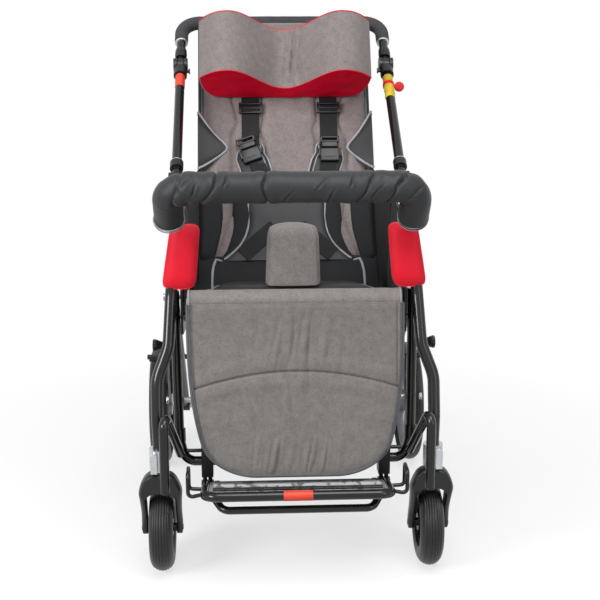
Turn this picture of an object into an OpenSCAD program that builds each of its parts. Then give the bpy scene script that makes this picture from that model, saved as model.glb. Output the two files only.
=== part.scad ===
// Special needs stroller with swivelling front casters, reclining seat and folding push handle.
// Right is +X, the front of the stroller faces -Y, and the placed model stands on z = 0.

/* [Front casters] */
// Diameter of the front wheels
front_wheel_d = 180; // [150:5:190]
// Width of the front tyres
front_wheel_w = 50; // [36:1:52]
// Distance between the two caster stems
caster_track = 558; // [540:2:600]
// Distance of the wheel axle behind the stem
caster_trail = 38; // [30:1:42]
// Diameter of the caster stems
stem_d = 16; // [12:1:18]

/* [Rear wheels] */
// Diameter of the rear wheels
rear_wheel_d = 300; // [280:5:310]
// Width of the rear tyres
rear_wheel_w = 48; // [40:1:50]
// Distance between the centres of the rear wheels
rear_track = 628; // [624:2:680]
// Distance of the rear axle behind the front axles
wheelbase = 590; // [560:5:610]
// Number of spokes in a rear wheel
rear_spokes = 6; // [4:1:8]
// Diameter of the rear axle tube
axle_d = 20; // [16:1:22]

/* [Side frame] */
// Diameter of the outer side tubes
frame_d = 25; // [20:1:25]
// Diameter of the inner front tubes and the lower cross tube
inner_d = 20; // [16:1:20]
// Diameter of the caster guard tubes
guard_d = 19; // [14:1:19]
// Diameter of the armrest and handle tubes
handle_d = 22; // [18:1:22]
// Height of the fold joints of the push handle
fold_z = 787; // [780:1:790]

/* [Seat] */
// Width of the seat cushion
seat_w = 438; // [420:1:440]
// Depth of the seat cushion
seat_depth = 318; // [300:1:322]
// Thickness of the seat cushion
seat_cushion_t = 40; // [30:1:44]
// Backward tilt of the seat in degrees
seat_tilt = 12; // [10:0.5:13]
// Radius of the roll along the front of the seat
roll_r = 21; // [16:0.5:21]
// Length of the calf panel
calf_length = 350; // [300:2:354]
// Thickness of the calf panel
calf_t = 16; // [8:1:18]

/* [Backrest] */
// Width of the backrest
back_w = 414; // [380:2:418]
// Height of the backrest cushion
back_h = 628; // [600:1:630]
// Thickness of the backrest cushion
back_t = 44; // [30:1:45]
// Recline of the backrest from the vertical in degrees
recline = 30; // [29:0.5:31]

/* [Headrest] */
// Width of the headrest pillow
head_w = 406; // [360:2:410]
// Height of the headrest pillow
head_h = 158; // [120:1:160]
// Depth of the pillow's side wings
head_wing = 149; // [120:1:150]
// Depth of the pillow in its middle
head_middle = 53; // [44:1:60]

/* [Push handle] */
// Clearance between the foam grip and the top of the backrest
bar_gap = 5.62; // [4:0.01:9]
// Reach of the grip bar beyond the tilt joints
handle_reach = 159; // [154:1:170]
// Diameter of the foam grip
grip_d = 33; // [28:1:34]

/* [Bumper bar] */
// Diameter of the padded bumper cover
bumper_d = 62; // [50:1:68]
// Height of the middle of the bumper bar
bumper_z = 827; // [810:1:835]
// Half the distance between the bumper's two bends
bumper_half = 252; // [248:1:256]

/* [Footrest] */
// Distance from the caster stems in to the sides of the footrest frame
foot_side = 93; // [92:1:99]
// Depth of the footrest frame
foot_depth = 125; // [110:1:130]
// Diameter of the footrest's front tube
foot_d = 20; // [16:1:20]
// Number of ribs on the foot plate
foot_ribs = 13; // [5:1:17]

/* [Hidden] */
// Height of the floor above the zero of the heights below
floor_z = 10;
// General fits: running gap of a shaft, gap between fixed pieces, and overrun of a cut
fit = 0.05;
gap = 0.3;
over = 1;
// Facets of exact round pieces, and sides and steps of swept tubes
fine = 48;
tube_sides = 14;
bend_steps = 4;

// Side tube: half widths and places at the socket, the bulge, the kink, the shoulder and the top
stem_x = caster_track / 2;
stem_y = -caster_trail;
foot_half = stem_x - foot_side;
frame_r = frame_d / 2;
side_bend = 90;
bulge_out = 2;
tube_foot_z = 274;
tube_rise_z = 300;
bulge_low = [stem_x + bulge_out, -30, 350];
bulge_high = [stem_x + bulge_out, -8, 428];
kink = [257, 12, 490];
shoulder = [251, 48, 590];
side_top = [238, 66, 735];
side_route = [[stem_x, stem_y, tube_foot_z], [stem_x, stem_y, tube_rise_z], bulge_low, bulge_high,
  kink, shoulder, side_top];

// Inner tube, lower cross tube and tie rod
inner_r = inner_d / 2;
inner_top = [246, 78, 590];
inner_foot = [240, 20, 284];
collar_r = 13;
collar_h = 26;
cross_z = 239;
cross_bend = 28;
cross_inset = 11;
cross_start = 8;
tie_r = 4;
tie_z = 262;
tie_bite = 12;

// Caster socket, stem flange and fork
socket_r = 20;
socket_z = 246;
socket_top = 292;
socket_bore_top = 270;
socket_rib_w = 8;
rib_drop = 4;
stem_r = stem_d / 2;
stem_end_gap = 2;
flange_r = 14;
fork_half = 46;
fork_leg = 15;
fork_crown_h = 44;
fork_shoulder_h = 12;
crown_top_half = 22;
fork_crown_gap = 6;
crown_half = 16;
axle_boss_r = 15;
front_axle_r = 6;
bolt_head_r = 9;
bolt_head_h = 6;
front_r = front_wheel_d / 2;
hub_z = floor_z + front_r;
fork_top = socket_z - fork_crown_gap;
arch_z = fork_top - fork_crown_h;
front_rim_r = 52;
front_rim_lip = 8;
front_rim_w = 32;
front_hub_r = 18;
front_hub_w = 44;
front_spokes = 5;
front_spoke = 11;

// Swivel lock tab in front of the socket
lock_side = 10;
lock_x = stem_x + lock_side;
lock_w = 13;
lock_h = 42;
lock_t = 7;
lock_z = 246;
lock_y = stem_y - socket_r - gap;

// Caster guard: a hooked tube before each caster
guard_r = guard_d / 2;
guard_bend = 15;
guard_side = [14, 15];
guard_y = -102;
guard_z = [221, 396];
guard_foot = [stem_x - guard_side[0], guard_y, guard_z[0]];
guard_apex = [stem_x - guard_side[1], guard_y, guard_z[1]];
guard_end = [238, 8, 260];

// Side plates, seat frame and their bolts
plate_t = 5;
plate_relief = 2;
plate_out = inner_top[0] - inner_r - gap - plate_relief;
plate_in = plate_out - plate_t;
rail_x = 217;
rail_r = 10;
rail_z = 537;
rail_y = 60;
rail_length = 330;
cross_y = [38, 310];
pan_t = 5;
pan_lip = 28;
pan_half = 214;
plate_outline = [[62, 594], [66, 500], [190, 478], [222, 492], [238, 560], [236, 594]];
bolt_r = 5;
bolt_s = [32, 138, 300];
bolt_head = 8;
cross_r = 8;
bracket_s = [272, 328];
bracket_r = 14;
bracket_pin_in = 6;

// Hinge of the rear legs, and the strut of the armrest
leg_pivot = [200, 545];
leg_x = 256;
leg_eye_r = 15;
leg_pin_r = 5;
leg_foot = [wheelbase, floor_z + rear_wheel_d / 2];
strut_r = 9;
strut_foot = [216, 586];
strut_top = [265, 781];
strut_x = 248;

// Armrest tube, bumper socket and fold joint
handle_r = handle_d / 2;
fold_y = 300;
fold_x = 248;
socket_mid = [242, 46, 764];
bumper_socket_r = 15;
bumper_socket_l = 46;
spigot_r = 8;
spigot_l = 38;
arm_end_y = 266;
arm_block = 10;
neck_l = 24;
socket_bite = 2;
cheek_t = 5;
cheek_r = 13;
cheek_bar = 8;
knuckle_r = 13;
knuckle_w = handle_d;
fold_pin_r = 4;
arm_pad_r = 21;
arm_pad_y = [118, 238];

// Push handle: direction, collar, trim and tilt joint
handle_angle = 32.8;
tube_start = 24;
neck_r = 9;
collar_s = 30;
collar_l = 20;
lock_collar_r = 15;
ring_l = 4;
ring_r = 13.5;
housing_r = 16;
housing_l = 42;
tilt_slot = 17;
tilt_disc = 16;
tilt_eye_r = 15;
tilt_cheek_r = 17;
tilt_width = 34;
slot_back = 17;
grip_angle = 36.3;
grip_bend = 45;
clamp_start = 24;
clamp_end = 52;
clamp_r = 14;
grip_r = grip_d / 2;
foam_start = 84;
trim_r = 11.6;
band_back = [88, 44];
sleeve_back = [132, 51];
tie_back = [86, 76];
tag_r = 12;
tag_t = 3;
button_s = 24;
button_stem_r = 4;
button_r = 6.5;
button_h = 3;
button_out = 7;
button_bore = 13;
button_end_gap = 6;

// Backrest frame in its own plane
hinge = [405, 520];
back_origin = [400, 545];
back_tube_r = 8;
back_tube_u = 200;
back_tube_w = -34;
back_tube_v = [-6, 618];
back_eye_r = 13;
back_eye_in = 196;
back_eye_out = 214;
hinge_pin_r = 5;
hinge_plate_in = 227.5;
back_board = [20, 630];
board_t = 5;
board_w = -25.6;
back_base = -20;
back_low = 22;
strap_u = [-93, 89];

// Push handle length, which keeps the grip clear of the top of the backrest
back_corner = [back_origin[0] + (back_low + back_h) * sin(recline) - back_base * cos(recline),
  back_origin[1] + (back_low + back_h) * cos(recline) + back_base * sin(recline)];
bar_reach = norm(back_corner - [fold_y, fold_z]) + bar_gap + grip_d / 2;
handle_length = sqrt(pow(bar_reach, 2) - pow(handle_reach * sin(grip_angle - handle_angle), 2))
  - handle_reach * cos(grip_angle - handle_angle);
band_s = [handle_length - band_back[0], handle_length - band_back[1]];
sleeve_s = [handle_length - sleeve_back[0], handle_length - sleeve_back[1]];
tie_s = [handle_length - tie_back[0], handle_length - tie_back[1]];

// Footrest: clamps, hangers and frame
hanger_in = [8.5, -2.5];
hanger_x = [for (x = hanger_in) foot_half - x];
hanger_y = -3;
hanger_r = 4.5;
hanger_top = 330;
clamp_in = [15, -9];
clamp_box = [for (x = clamp_in) foot_half - x];
clamp_y = [-12, 20];
clamp_z = [215, 284];
calf_top = [8, 577];
calf_tilt = 13.2;
foot_drop = 40;
foot_hinge = [-6, calf_top[1] - calf_length * cos(calf_tilt) - foot_drop];
foot_tilt = 12;
foot_r = foot_d / 2;
foot_bend = 26;
foot_start = 14;
yoke_in = [16, -10];
yoke = [for (x = yoke_in) foot_half - x];
yoke_h = 16;
yoke_pin_r = 4;
lug_side = 28;
lug_in = foot_half - lug_side;
lug_w = 11;
lug_r = 8;
lower_r = 8;
lower_in = 36;
lower_half = foot_half - lower_in;
lower_drop = 16;
lower_z = foot_hinge[1] - lower_drop;
lower_y = -100;
lower_side = [3, -45, 5];
lower_start = [foot_half - lower_side[0], lower_side[1], foot_hinge[1] + lower_side[2]];
lower_bend = 22;
foot_cross_s = 22;
foot_cross_r = 6;
lug_bar_r = 5;
plate_start = 17;
plate_bite = 2;
rib_margin = 8;
foot_plate_t = 5;
foot_plate_lift = 3;
rib_h = 3;
rib_w = 3;
guard_wire_r = 4;
wire_out = 34;
wire_x = foot_half + wire_out;
wire_bend = 9;
wire_front = -96;
wire_back = -52;
wire_rise = [12, 60];
wire_top = foot_hinge[1] + wire_rise[1];
wire_low = foot_hinge[1] + wire_rise[0];

// Brake on the rear legs
brake_axis = [452, 330];
brake_r = 6;
shoe_half = 22;
brake_half = rear_track / 2 + shoe_half;
shoe_r = 8;
shoe_arm = 60;
shoe_in = rear_track / 2 - shoe_half;
shoe_angle = -21;
pedal_arm = 92;
pedal_half = 45;
pedal_angle = -10;
pedal_t = 9;
lug_t = 9;
brake_lug_r = 15;

// Knobs on the inner tubes
knob_at = [57, 480];
knob_stud_r = 4;
knob_r = [7, 13];
knob_l = 24;
stud_l = 12;

// Pommel
pommel_y = 128;
pommel_half = 57;
pommel_t = 68;
pommel_z = [592, 720];
post_bite = 10;
post_r = 11;
post_foot = 492;
post_sleeve = 15;
post_sleeve_l = 40;
post_bore_r = 14;
pommel_round_share = 0.28;
pommel_top_share = 0.2;

// Rear wheel and axle
rear_r = rear_wheel_d / 2;
rear_x = rear_track / 2;
rear_tread = 25;
rear_rim_lip = 12;
rear_rim_w = 30;
rear_hub_r = 27;
rear_hub_half = 26;
rear_spoke = 13;
rear_spoke_t = 12;
axle_r = axle_d / 2;
stub_r = 6;
axle_nut_r = 14;
axle_nut_l = 14;
cap_r = 16;
cap_l = 5;
leg_boss_r = 17;

// Soft pieces
edge_share = 0.55;
draw_share = 0.02;
cushion_base = rail_r + gap + pan_t + gap;
cushion_start = -3;
roll_y = -23.35;
roll_end_shares = [0, 0.02, 0.08, 0.5, 0.92, 0.98, 1];
roll_size_shares = [0.6, 0.9, 1, 1, 1, 0.9, 0.6];
calf_side_share = 0.24;
calf_corner_share = 0.3;
calf_edge_share = 0.4;
calf_side_power = 3;
calf_corner_power = 14;
pad_half = 35;
pad_depth = 26;
pad_low = [235, 50, 601];
pad_high = [220, 64, 734];
pad_edge_share = 0.5;
panel_t = 6;
panel_outline = [[92, 562], [96, 736], [290, 736], [356, 600], [356, 562]];
head_v = 433;
head_end = 100;
head_peak = 135;
head_edge_share = 0.9;
vest_half = 122;
vest_low = 40;
vest_h = 270;
vest_t = 9;
vest_shares = [[-0.86, 0], [-1, 0.25], [-0.8, 0.5], [-0.66, 0.78], [-0.53, 1], [-0.42, 0.84], [-0.25, 0.73],
  [0.25, 0.73], [0.42, 0.84], [0.53, 1], [0.66, 0.78], [0.8, 0.5], [1, 0.25], [0.86, 0]];
strap_half = 21;
strap_t = 2.5;
strap_v = [284, 430];
adjuster = [50, 22, 9];
adjuster_v = 392;
buckle = [50, 66, 13];
buckle_v = 266;
strap_gap = 0.15;

// Overall extent from front to back, which centres the model
front_y = foot_hinge[0] - foot_depth * cos(foot_tilt) - foot_r;
rear_y = fold_y + handle_length * cos(handle_angle) + handle_reach * cos(grip_angle) + grip_r;
mid_y = (front_y + rear_y) / 2;

// Vectors and routes
function unit(v) = v / norm(v);
function mix(a, b, t) = a + (b - a) * t;
function corner(p, a, b, bend) = let (u = unit(a - p), v = unit(b - p), turn = 180 - acos(u * v),
  t = bend * tan(turn / 2), c = p + unit(u + v) * bend / cos(turn / 2), s = p + u * t - c, e = p + v * t - c,
  z = unit(cross(s, e)))
  [for (k = [0 : bend_steps]) let (g = turn * k / bend_steps) c + cos(g) * s + sin(g) * cross(z, s)];
function route(pts, bend) = [pts[0],
  for (i = [1 : 1 : len(pts) - 2]) each corner(pts[i], pts[i - 1], pts[i + 1], bend), pts[len(pts) - 1]];
function heading(pts, i) = unit((i > 0 ? unit(pts[i] - pts[i - 1]) : [0, 0, 0])
  + (i < len(pts) - 1 ? unit(pts[i + 1] - pts[i]) : [0, 0, 0]));
function mirrored(pts) = concat(pts, [for (i = [len(pts) - 1 : -1 : 0]) [-pts[i][0], pts[i][1], pts[i][2]]]);

// Swept tube along a route, with rings square to it
module sweep(pts, r, side, sides = tube_sides) {
  rings = [for (i = [0 : len(pts) - 1]) let (d = heading(pts, i), x = unit(cross(side, d)), y = cross(d, x))
    for (k = [0 : sides - 1]) pts[i] + (is_list(r) ? r[i] : r) * (cos(360 * k / sides) * x + sin(360 * k / sides) * y)];
  last = (len(pts) - 1) * sides;
  polyhedron(rings, concat(
    [[for (k = [0 : sides - 1]) k]],
    [[for (k = [sides - 1 : -1 : 0]) last + k]],
    [for (i = [0 : len(pts) - 2]) for (k = [0 : sides - 1]) let (a = i * sides, n = (k + 1) % sides)
      each [[a + k, a + sides + k, a + sides + n], [a + k, a + sides + n, a + n]]]));
}

// Closed skin between a front and a back surface, each a function of two shares
module skin(nx, ny, front, back) {
  m = (nx + 1) * (ny + 1);
  pts = concat([for (j = [0 : ny]) for (i = [0 : nx]) front(i / nx, j / ny)],
    [for (j = [0 : ny]) for (i = [0 : nx]) back(i / nx, j / ny)]);
  a = function (i, j) j * (nx + 1) + i;
  b = function (i, j) m + j * (nx + 1) + i;
  quad = function (p, q, r, s) [[p, q, r], [p, r, s]];
  polyhedron(pts, concat(
    [for (j = [0 : ny - 1]) for (i = [0 : nx - 1]) each quad(a(i, j), a(i, j + 1), a(i + 1, j + 1), a(i + 1, j))],
    [for (j = [0 : ny - 1]) for (i = [0 : nx - 1]) each quad(b(i, j), b(i + 1, j), b(i + 1, j + 1), b(i, j + 1))],
    [for (i = [0 : nx - 1]) each quad(a(i, 0), a(i + 1, 0), b(i + 1, 0), b(i, 0))],
    [for (i = [0 : nx - 1]) each quad(a(i + 1, ny), a(i, ny), b(i, ny), b(i + 1, ny))],
    [for (j = [0 : ny - 1]) each quad(a(0, j + 1), a(0, j), b(0, j), b(0, j + 1))],
    [for (j = [0 : ny - 1]) each quad(a(nx, j), a(nx, j + 1), b(nx, j + 1), b(nx, j))]));
}

// Exact bars, discs and plates
module placed() translate([0, -mid_y, -floor_z]) children();
module left() mirror([1, 0, 0]) children();
module pair() {
  children();
  left() children();
}
module bar(a, b, r) let (d = b - a)
  translate(a) rotate([0, acos(d[2] / norm(d)), atan2(d[1], d[0])]) cylinder(r = r, h = norm(d), $fn = fine);
module disc_x(x0, x1, at, r) translate([x0, at[0], at[1]]) rotate([0, 90, 0])
  cylinder(r = r, h = x1 - x0, $fn = fine);
module in_yz(x0, x1) translate([x0, 0, 0]) rotate([90, 0, 90]) linear_extrude(x1 - x0) children();
module box(low, high) translate(low) cube(high - low);
module on_seat() translate([0, rail_y, rail_z]) rotate([-seat_tilt, 0, 0]) children();
module on_back() translate([0, back_origin[0], back_origin[1]]) rotate([90 - recline, 0, 0]) children();
function along_handle(s, x = fold_x) = [x, fold_y + s * cos(handle_angle), fold_z + s * sin(handle_angle)];
tilt_at = along_handle(handle_length);
function along_grip(s) = tilt_at + s * [0, cos(grip_angle), sin(grip_angle)];
function on_foot(x, s, n) = [x, foot_hinge[0] - s * cos(foot_tilt) + n * sin(foot_tilt),
  foot_hinge[1] + s * sin(foot_tilt) + n * cos(foot_tilt)];
function bump(t) = 1 - pow(abs(2 * t - 1), 4);

function rail_point(y) = [rail_y + y * cos(seat_tilt), rail_z - y * sin(seat_tilt)];
module in_xz(y0, y1) translate([0, y1, 0]) rotate([90, 0, 0]) linear_extrude(y1 - y0) children();
module on_handle() translate([0, fold_y, fold_z]) rotate([handle_angle, 0, 0]) children();
module in_foot() translate([0, foot_hinge[0], foot_hinge[1]]) rotate([-foot_tilt, 0, 0]) children();

// Side frame
module side_tube() color("#17181a") sweep(side_route_bent, frame_r, [1, 0, 0]);
side_route_bent = route(side_route, side_bend);
module side_tube_right() side_tube();
module side_tube_left() left() side_tube();

module inner_tubes() color("#17181a") pair() difference() {
  union() {
    bar(inner_foot, inner_top, inner_r);
    bar(inner_foot, inner_foot + unit(inner_top - inner_foot) * collar_h, collar_r);
  }
  disc_x(inner_foot[0] + gap, inner_top[0] + inner_r + over, knob_at, knob_stud_r + fit);
}

module lower_cross_tube() color("#17181a") {
  sweep(route(mirrored([inner_foot + [0, 0, cross_start], [inner_foot[0] - cross_inset, inner_foot[1], cross_z]]),
    cross_bend), inner_r, [0, 1, 0]);
  disc_x(tie_bite - inner_foot[0], inner_foot[0] - tie_bite, [inner_foot[1], tie_z], tie_r);
}

module caster_sockets() color("silver") pair() translate([stem_x, stem_y, 0]) difference() {
  union() {
    translate([0, 0, socket_z]) cylinder(r = socket_r, h = socket_top - socket_z, $fn = fine);
    box([lock_x - stem_x - socket_rib_w / 2, -socket_r, socket_z + rib_drop],
      [lock_x - stem_x + socket_rib_w / 2, 0, socket_top - rib_drop]);
  }
  translate([0, 0, socket_z - over])
    cylinder(r = stem_r + fit, h = socket_bore_top - socket_z + over, $fn = fine);
  translate([0, 0, tube_foot_z]) cylinder(r = frame_r, h = socket_top - tube_foot_z + over, $fn = fine);
}

module guard_loops() color("#17181a") pair() sweep(route([guard_foot, guard_apex, guard_end], guard_bend),
  guard_r, cross(guard_apex - guard_foot, guard_end - guard_apex));

module side_plates() color("#1c1d1f") pair() in_yz(plate_in, plate_out) difference() {
  polygon(plate_outline);
  translate(leg_pivot) circle(r = leg_pin_r, $fn = fine);
  translate(strut_foot) circle(r = bolt_r, $fn = fine);
  for (i = [0, 1]) translate(rail_point(bolt_s[i])) circle(r = bolt_r, $fn = fine);
}

module frame_bolts() color("silver") pair() {
  disc_x(plate_in - bolt_head, leg_x + frame_r + gap + bolt_head, leg_pivot, leg_pin_r);
  disc_x(leg_x + frame_r + gap, leg_x + frame_r + gap + bolt_head, leg_pivot, bolt_head);
  disc_x(plate_in, strut_x, strut_foot, bolt_r);
  for (i = [0, 1]) disc_x(rail_x, plate_out + bolt_head / 2, rail_point(bolt_s[i]), bolt_r);
  disc_x(rail_x, hinge_plate_in + plate_t + bolt_head / 2, rail_point(bolt_s[2]), bolt_r);
}

// Seat frame
module seat_rails() color("#17181a") pair() difference() {
  on_seat() bar([rail_x, 0, 0], [rail_x, rail_length, 0], rail_r);
  for (y = bolt_s) disc_x(rail_x, rail_x + rail_r + over, rail_point(y), bolt_r);
}

module seat_cross_tubes() color("#17181a") on_seat() for (y = cross_y) difference() {
  bar([-rail_x, y, 0], [rail_x, y, 0], cross_r);
  pair() bar([rail_x, -over, 0], [rail_x, rail_length + over, 0], rail_r);
}

module seat_pan_block() on_seat()
  box([-pan_half, -pan_lip, rail_r + gap], [pan_half, rail_length - bracket_r, rail_r + gap + pan_t]);

module post_hole(r) translate([0, pommel_y, post_foot - over])
  cylinder(r = r, h = pommel_z[0] - post_foot, $fn = fine);

module seat_pan() color("#202124") difference() {
  seat_pan_block();
  post_hole(post_r + fit);
}

module recline_brackets() color("#1c1d1f") pair() {
  difference() {
    in_yz(hinge_plate_in, hinge_plate_in + plate_t) {
      translate(hinge) circle(r = bracket_r, $fn = fine);
      polygon([rail_point(bracket_s[0]) - [0, rail_r], rail_point(bracket_s[0]) + [0, rail_r],
        hinge - [bracket_r, 0], hinge + [bracket_r, 0], rail_point(bracket_s[1]) - [0, rail_r]]);
    }
    disc_x(hinge_plate_in - over, hinge_plate_in + plate_t + over, rail_point(bolt_s[2]), bolt_r);
  }
  disc_x(back_eye_in - bracket_pin_in, hinge_plate_in + plate_t, hinge, hinge_pin_r);
}

// Armrest tube with the bumper's socket in front and the clevis of the fold joint behind
arm_start = socket_mid + [0, bumper_socket_l - socket_bite, 0];
arm_end = [fold_x, arm_end_y, fold_z];
cheek_in = knuckle_w / 2 + gap;
cheek_out = cheek_in + cheek_t;
module armrest_tubes() color("#17181a") pair() difference() {
  union() {
    bar(socket_mid, socket_mid + [0, bumper_socket_l, 0], bumper_socket_r);
    bar(side_top, side_top + unit(side_top - shoulder) * neck_l, frame_r);
    bar(arm_start, arm_end, handle_r);
    box(arm_end - [cheek_out, arm_block, cheek_bar], arm_end + [cheek_out, 0, cheek_bar]);
    for (x = [fold_x - cheek_out, fold_x + cheek_in]) {
      disc_x(x, x + cheek_t, [fold_y, fold_z], cheek_r);
      box([x, arm_end_y - over, fold_z - cheek_bar], [x + cheek_t, fold_y, fold_z + cheek_bar]);
    }
    disc_x(fold_x - cheek_out, fold_x + cheek_out, [fold_y, fold_z], fold_pin_r);
  }
  bar(socket_mid - [0, over, 0], socket_mid + [0, spigot_l + over, 0], spigot_r + fit);
}

module armrest_struts() color("#17181a") pair() difference() {
  bar([strut_x, strut_foot[0], strut_foot[1]], [strut_x, strut_top[0], strut_top[1]], strut_r);
  disc_x(plate_in, strut_x, strut_foot, bolt_r);
}

function on_arm(y) = mix(arm_start, arm_end, (y - arm_start[1]) / (arm_end[1] - arm_start[1]));
module armrest_pads() color("#2e3033") pair() difference() {
  bar(on_arm(arm_pad_y[0]), on_arm(arm_pad_y[1]), arm_pad_r);
  bar(arm_start, arm_end, handle_r);
}

module side_pads() color("#d8232f") pair() {
  reach = function (s, t) let (c = mix(pad_low, pad_high, t)) c + [(2 * s - 1) * pad_half, 0, 0];
  puff = function (s, t) [0, pad_depth * mix(pad_edge_share, 1, bump(s) * bump(t)), 0];
  skin(8, 8, function (s, t) reach(s, t) - puff(s, t), function (s, t) reach(s, t) + puff(s, t));
}

module side_panels() color("#2e3033") pair() in_yz(plate_in - gap - panel_t, plate_in - gap)
  polygon(panel_outline);

// Seat
module seat_cushion() color("#2b2c2f") difference() {
  on_seat() {
    reach = function (s, t, z) [(2 * s - 1) * seat_w / 2 * (1 - draw_share * bump(t)),
      cushion_start + t * seat_depth, cushion_base + z];
    skin(10, 10,
      function (s, t) reach(s, t, seat_cushion_t * mix(edge_share, 1, bump(s) * bump(t))),
      function (s, t) reach(s, t, 0));
  }
  post_hole(post_bore_r);
}

module seat_roll() color("#8a847e") on_seat() {
  pts = [for (k = roll_end_shares) [(2 * k - 1) * seat_w / 2, roll_y, cushion_base + roll_r]];
  sweep(pts, roll_r * roll_size_shares, [0, 0, 1]);
}

module calf_panel() color("#8a847e") {
  reach = function (s, t, d) let (
    half = seat_w / 2 * (1 - calf_side_share * pow(1 - t, calf_side_power) - calf_corner_share * pow(1 - t, calf_corner_power)),
    down = (1 - t) * calf_length, thick = calf_t * mix(calf_edge_share, 1, bump(s)) / 2)
    [(2 * s - 1) * half, calf_top[0] - down * sin(calf_tilt) + calf_t / 2 + d * thick,
      calf_top[1] - down * cos(calf_tilt)];
  skin(12, 12, function (s, t) reach(s, t, -1), function (s, t) reach(s, t, 1));
}

module pommel_socket() color("#202124") difference() {
  translate([0, pommel_y, post_foot]) cylinder(r = post_sleeve, h = post_sleeve_l + post_sleeve, $fn = fine);
  on_seat() box([-pan_half, -pan_lip, rail_r + gap], [pan_half, rail_length, rail_r + post_sleeve_l]);
  post_hole(post_r + fit);
}

module pommel_post() color("silver") translate([0, pommel_y, post_foot])
  cylinder(r = post_r, h = pommel_z[0] - post_foot, $fn = fine);

module pommel_pad() color("#8a847e") {
  reach = function (s, t, d) let (
    top = max(0, (t - 1 + pommel_round_share) / pommel_round_share),
    half = pommel_half * (1 - pommel_top_share * top * top),
    thick = pommel_t / 2 * mix(edge_share, 1, bump(s)) * (1 - pommel_top_share * top * top))
    [(2 * s - 1) * half, pommel_y + d * thick, mix(pommel_z[0], pommel_z[1], t)];
  skin(8, 10, function (s, t) reach(s, t, -1), function (s, t) reach(s, t, 1));
}

// Front casters
module swivel_lock() color("#c9cbce") in_xz(lock_y - lock_t, lock_y) {
  translate([lock_x - lock_w / 2, lock_z]) square([lock_w, lock_h - lock_w / 2]);
  translate([lock_x, lock_z + lock_h - lock_w / 2]) circle(r = lock_w / 2, $fn = fine);
}
module swivel_lock_right() swivel_lock();
module swivel_lock_left() left() swivel_lock();

module caster_fork() color("#121315") translate([stem_x, stem_y, 0]) {
  translate([0, 0, fork_top - over])
    cylinder(r = stem_r, h = socket_bore_top - stem_end_gap - fork_top + over, $fn = fine);
  translate([0, 0, fork_top - over]) cylinder(r = flange_r, h = fork_crown_gap - gap + over, $fn = fine);
  in_xz(-crown_half, crown_half) polygon([[-fork_half, arch_z], [-fork_half, arch_z + fork_shoulder_h],
    [-crown_top_half, fork_top], [crown_top_half, fork_top], [fork_half, arch_z + fork_shoulder_h], [fork_half, arch_z]]);
  for (x = [-fork_half, fork_half - fork_leg]) in_yz(x, x + fork_leg) {
    translate([caster_trail, hub_z]) circle(r = axle_boss_r, $fn = fine);
    polygon([[caster_trail - axle_boss_r, hub_z], [-crown_half, arch_z], [-crown_half, arch_z + fork_shoulder_h],
      [crown_half, arch_z + fork_shoulder_h], [caster_trail + axle_boss_r, hub_z]]);
  }
  disc_x(-fork_half - bolt_head_h, fork_half + bolt_head_h, [caster_trail, hub_z], front_axle_r);
  for (x = [-fork_half - bolt_head_h, fork_half]) disc_x(x, x + bolt_head_h, [caster_trail, hub_z], bolt_head_r);
}
module caster_fork_right() caster_fork();
module caster_fork_left() left() caster_fork();

module front_tyre() color("#26272a") translate([stem_x, 0, hub_z]) rotate([0, 90, 0]) difference() {
  rotate_extrude($fn = 2 * fine) translate([front_r - front_wheel_w / 2, 0]) circle(d = front_wheel_w, $fn = fine);
  translate([0, 0, -front_wheel_w]) cylinder(r = front_rim_r, h = 2 * front_wheel_w, $fn = 2 * fine);
}
module front_tyre_right() front_tyre();
module front_tyre_left() left() front_tyre();

module wheel_ring(r, lip, w) translate([0, 0, -w / 2]) difference() {
  cylinder(r = r, h = w, $fn = 2 * fine);
  translate([0, 0, -over]) cylinder(r = r - lip, h = w + 2 * over, $fn = 2 * fine);
}

module front_rim() color("#1a1b1d") translate([stem_x, 0, hub_z]) rotate([0, 90, 0]) difference() {
  union() {
    wheel_ring(front_rim_r, front_rim_lip, front_rim_w);
    translate([0, 0, -front_hub_w / 2]) cylinder(r = front_hub_r, h = front_hub_w, $fn = fine);
    translate([0, 0, gap - fork_half + fork_leg])
      cylinder(r = bolt_head_r, h = 2 * (fork_half - fork_leg - gap), $fn = fine);
    for (k = [1 : front_spokes]) rotate([0, 0, 360 * k / front_spokes])
      box([0, -front_spoke / 2, -front_spoke / 2], [front_rim_r - front_rim_lip + over, front_spoke / 2, front_spoke / 2]);
  }
  translate([0, 0, -fork_half]) cylinder(r = front_axle_r + fit, h = 2 * fork_half, $fn = fine);
}
module front_rim_right() front_rim();
module front_rim_left() left() front_rim();

// Rear legs, axle, wheels and brake
module rear_leg() color("#17181a") difference() {
  union() {
    bar([leg_x, leg_pivot[0], leg_pivot[1]], [leg_x, leg_foot[0], leg_foot[1]], frame_r);
    disc_x(leg_x - frame_r, leg_x + frame_r, leg_pivot, leg_eye_r);
    disc_x(leg_x - frame_r, leg_x + frame_r, leg_foot, leg_boss_r);
    disc_x(leg_x - lug_t / 2, leg_x + lug_t / 2, brake_axis, brake_lug_r);
  }
  disc_x(leg_x - leg_boss_r, leg_x + leg_boss_r, leg_pivot, leg_pin_r + fit);
  disc_x(leg_x - leg_boss_r, leg_x + leg_boss_r, leg_foot, axle_r);
  disc_x(leg_x - leg_boss_r, leg_x + leg_boss_r, brake_axis, brake_r + fit);
}
module rear_leg_right() rear_leg();
module rear_leg_left() left() rear_leg();

axle_end = leg_x + frame_r + gap + axle_nut_l;
module rear_axle() color("silver") {
  disc_x(-axle_end, axle_end, leg_foot, axle_r);
  pair() {
    disc_x(leg_x + frame_r + gap, axle_end, leg_foot, axle_nut_r);
    disc_x(axle_end - over, rear_x + rear_hub_half + gap + cap_l, leg_foot, stub_r);
    disc_x(rear_x + rear_hub_half + gap, rear_x + rear_hub_half + gap + cap_l, leg_foot, cap_r);
  }
}

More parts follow.
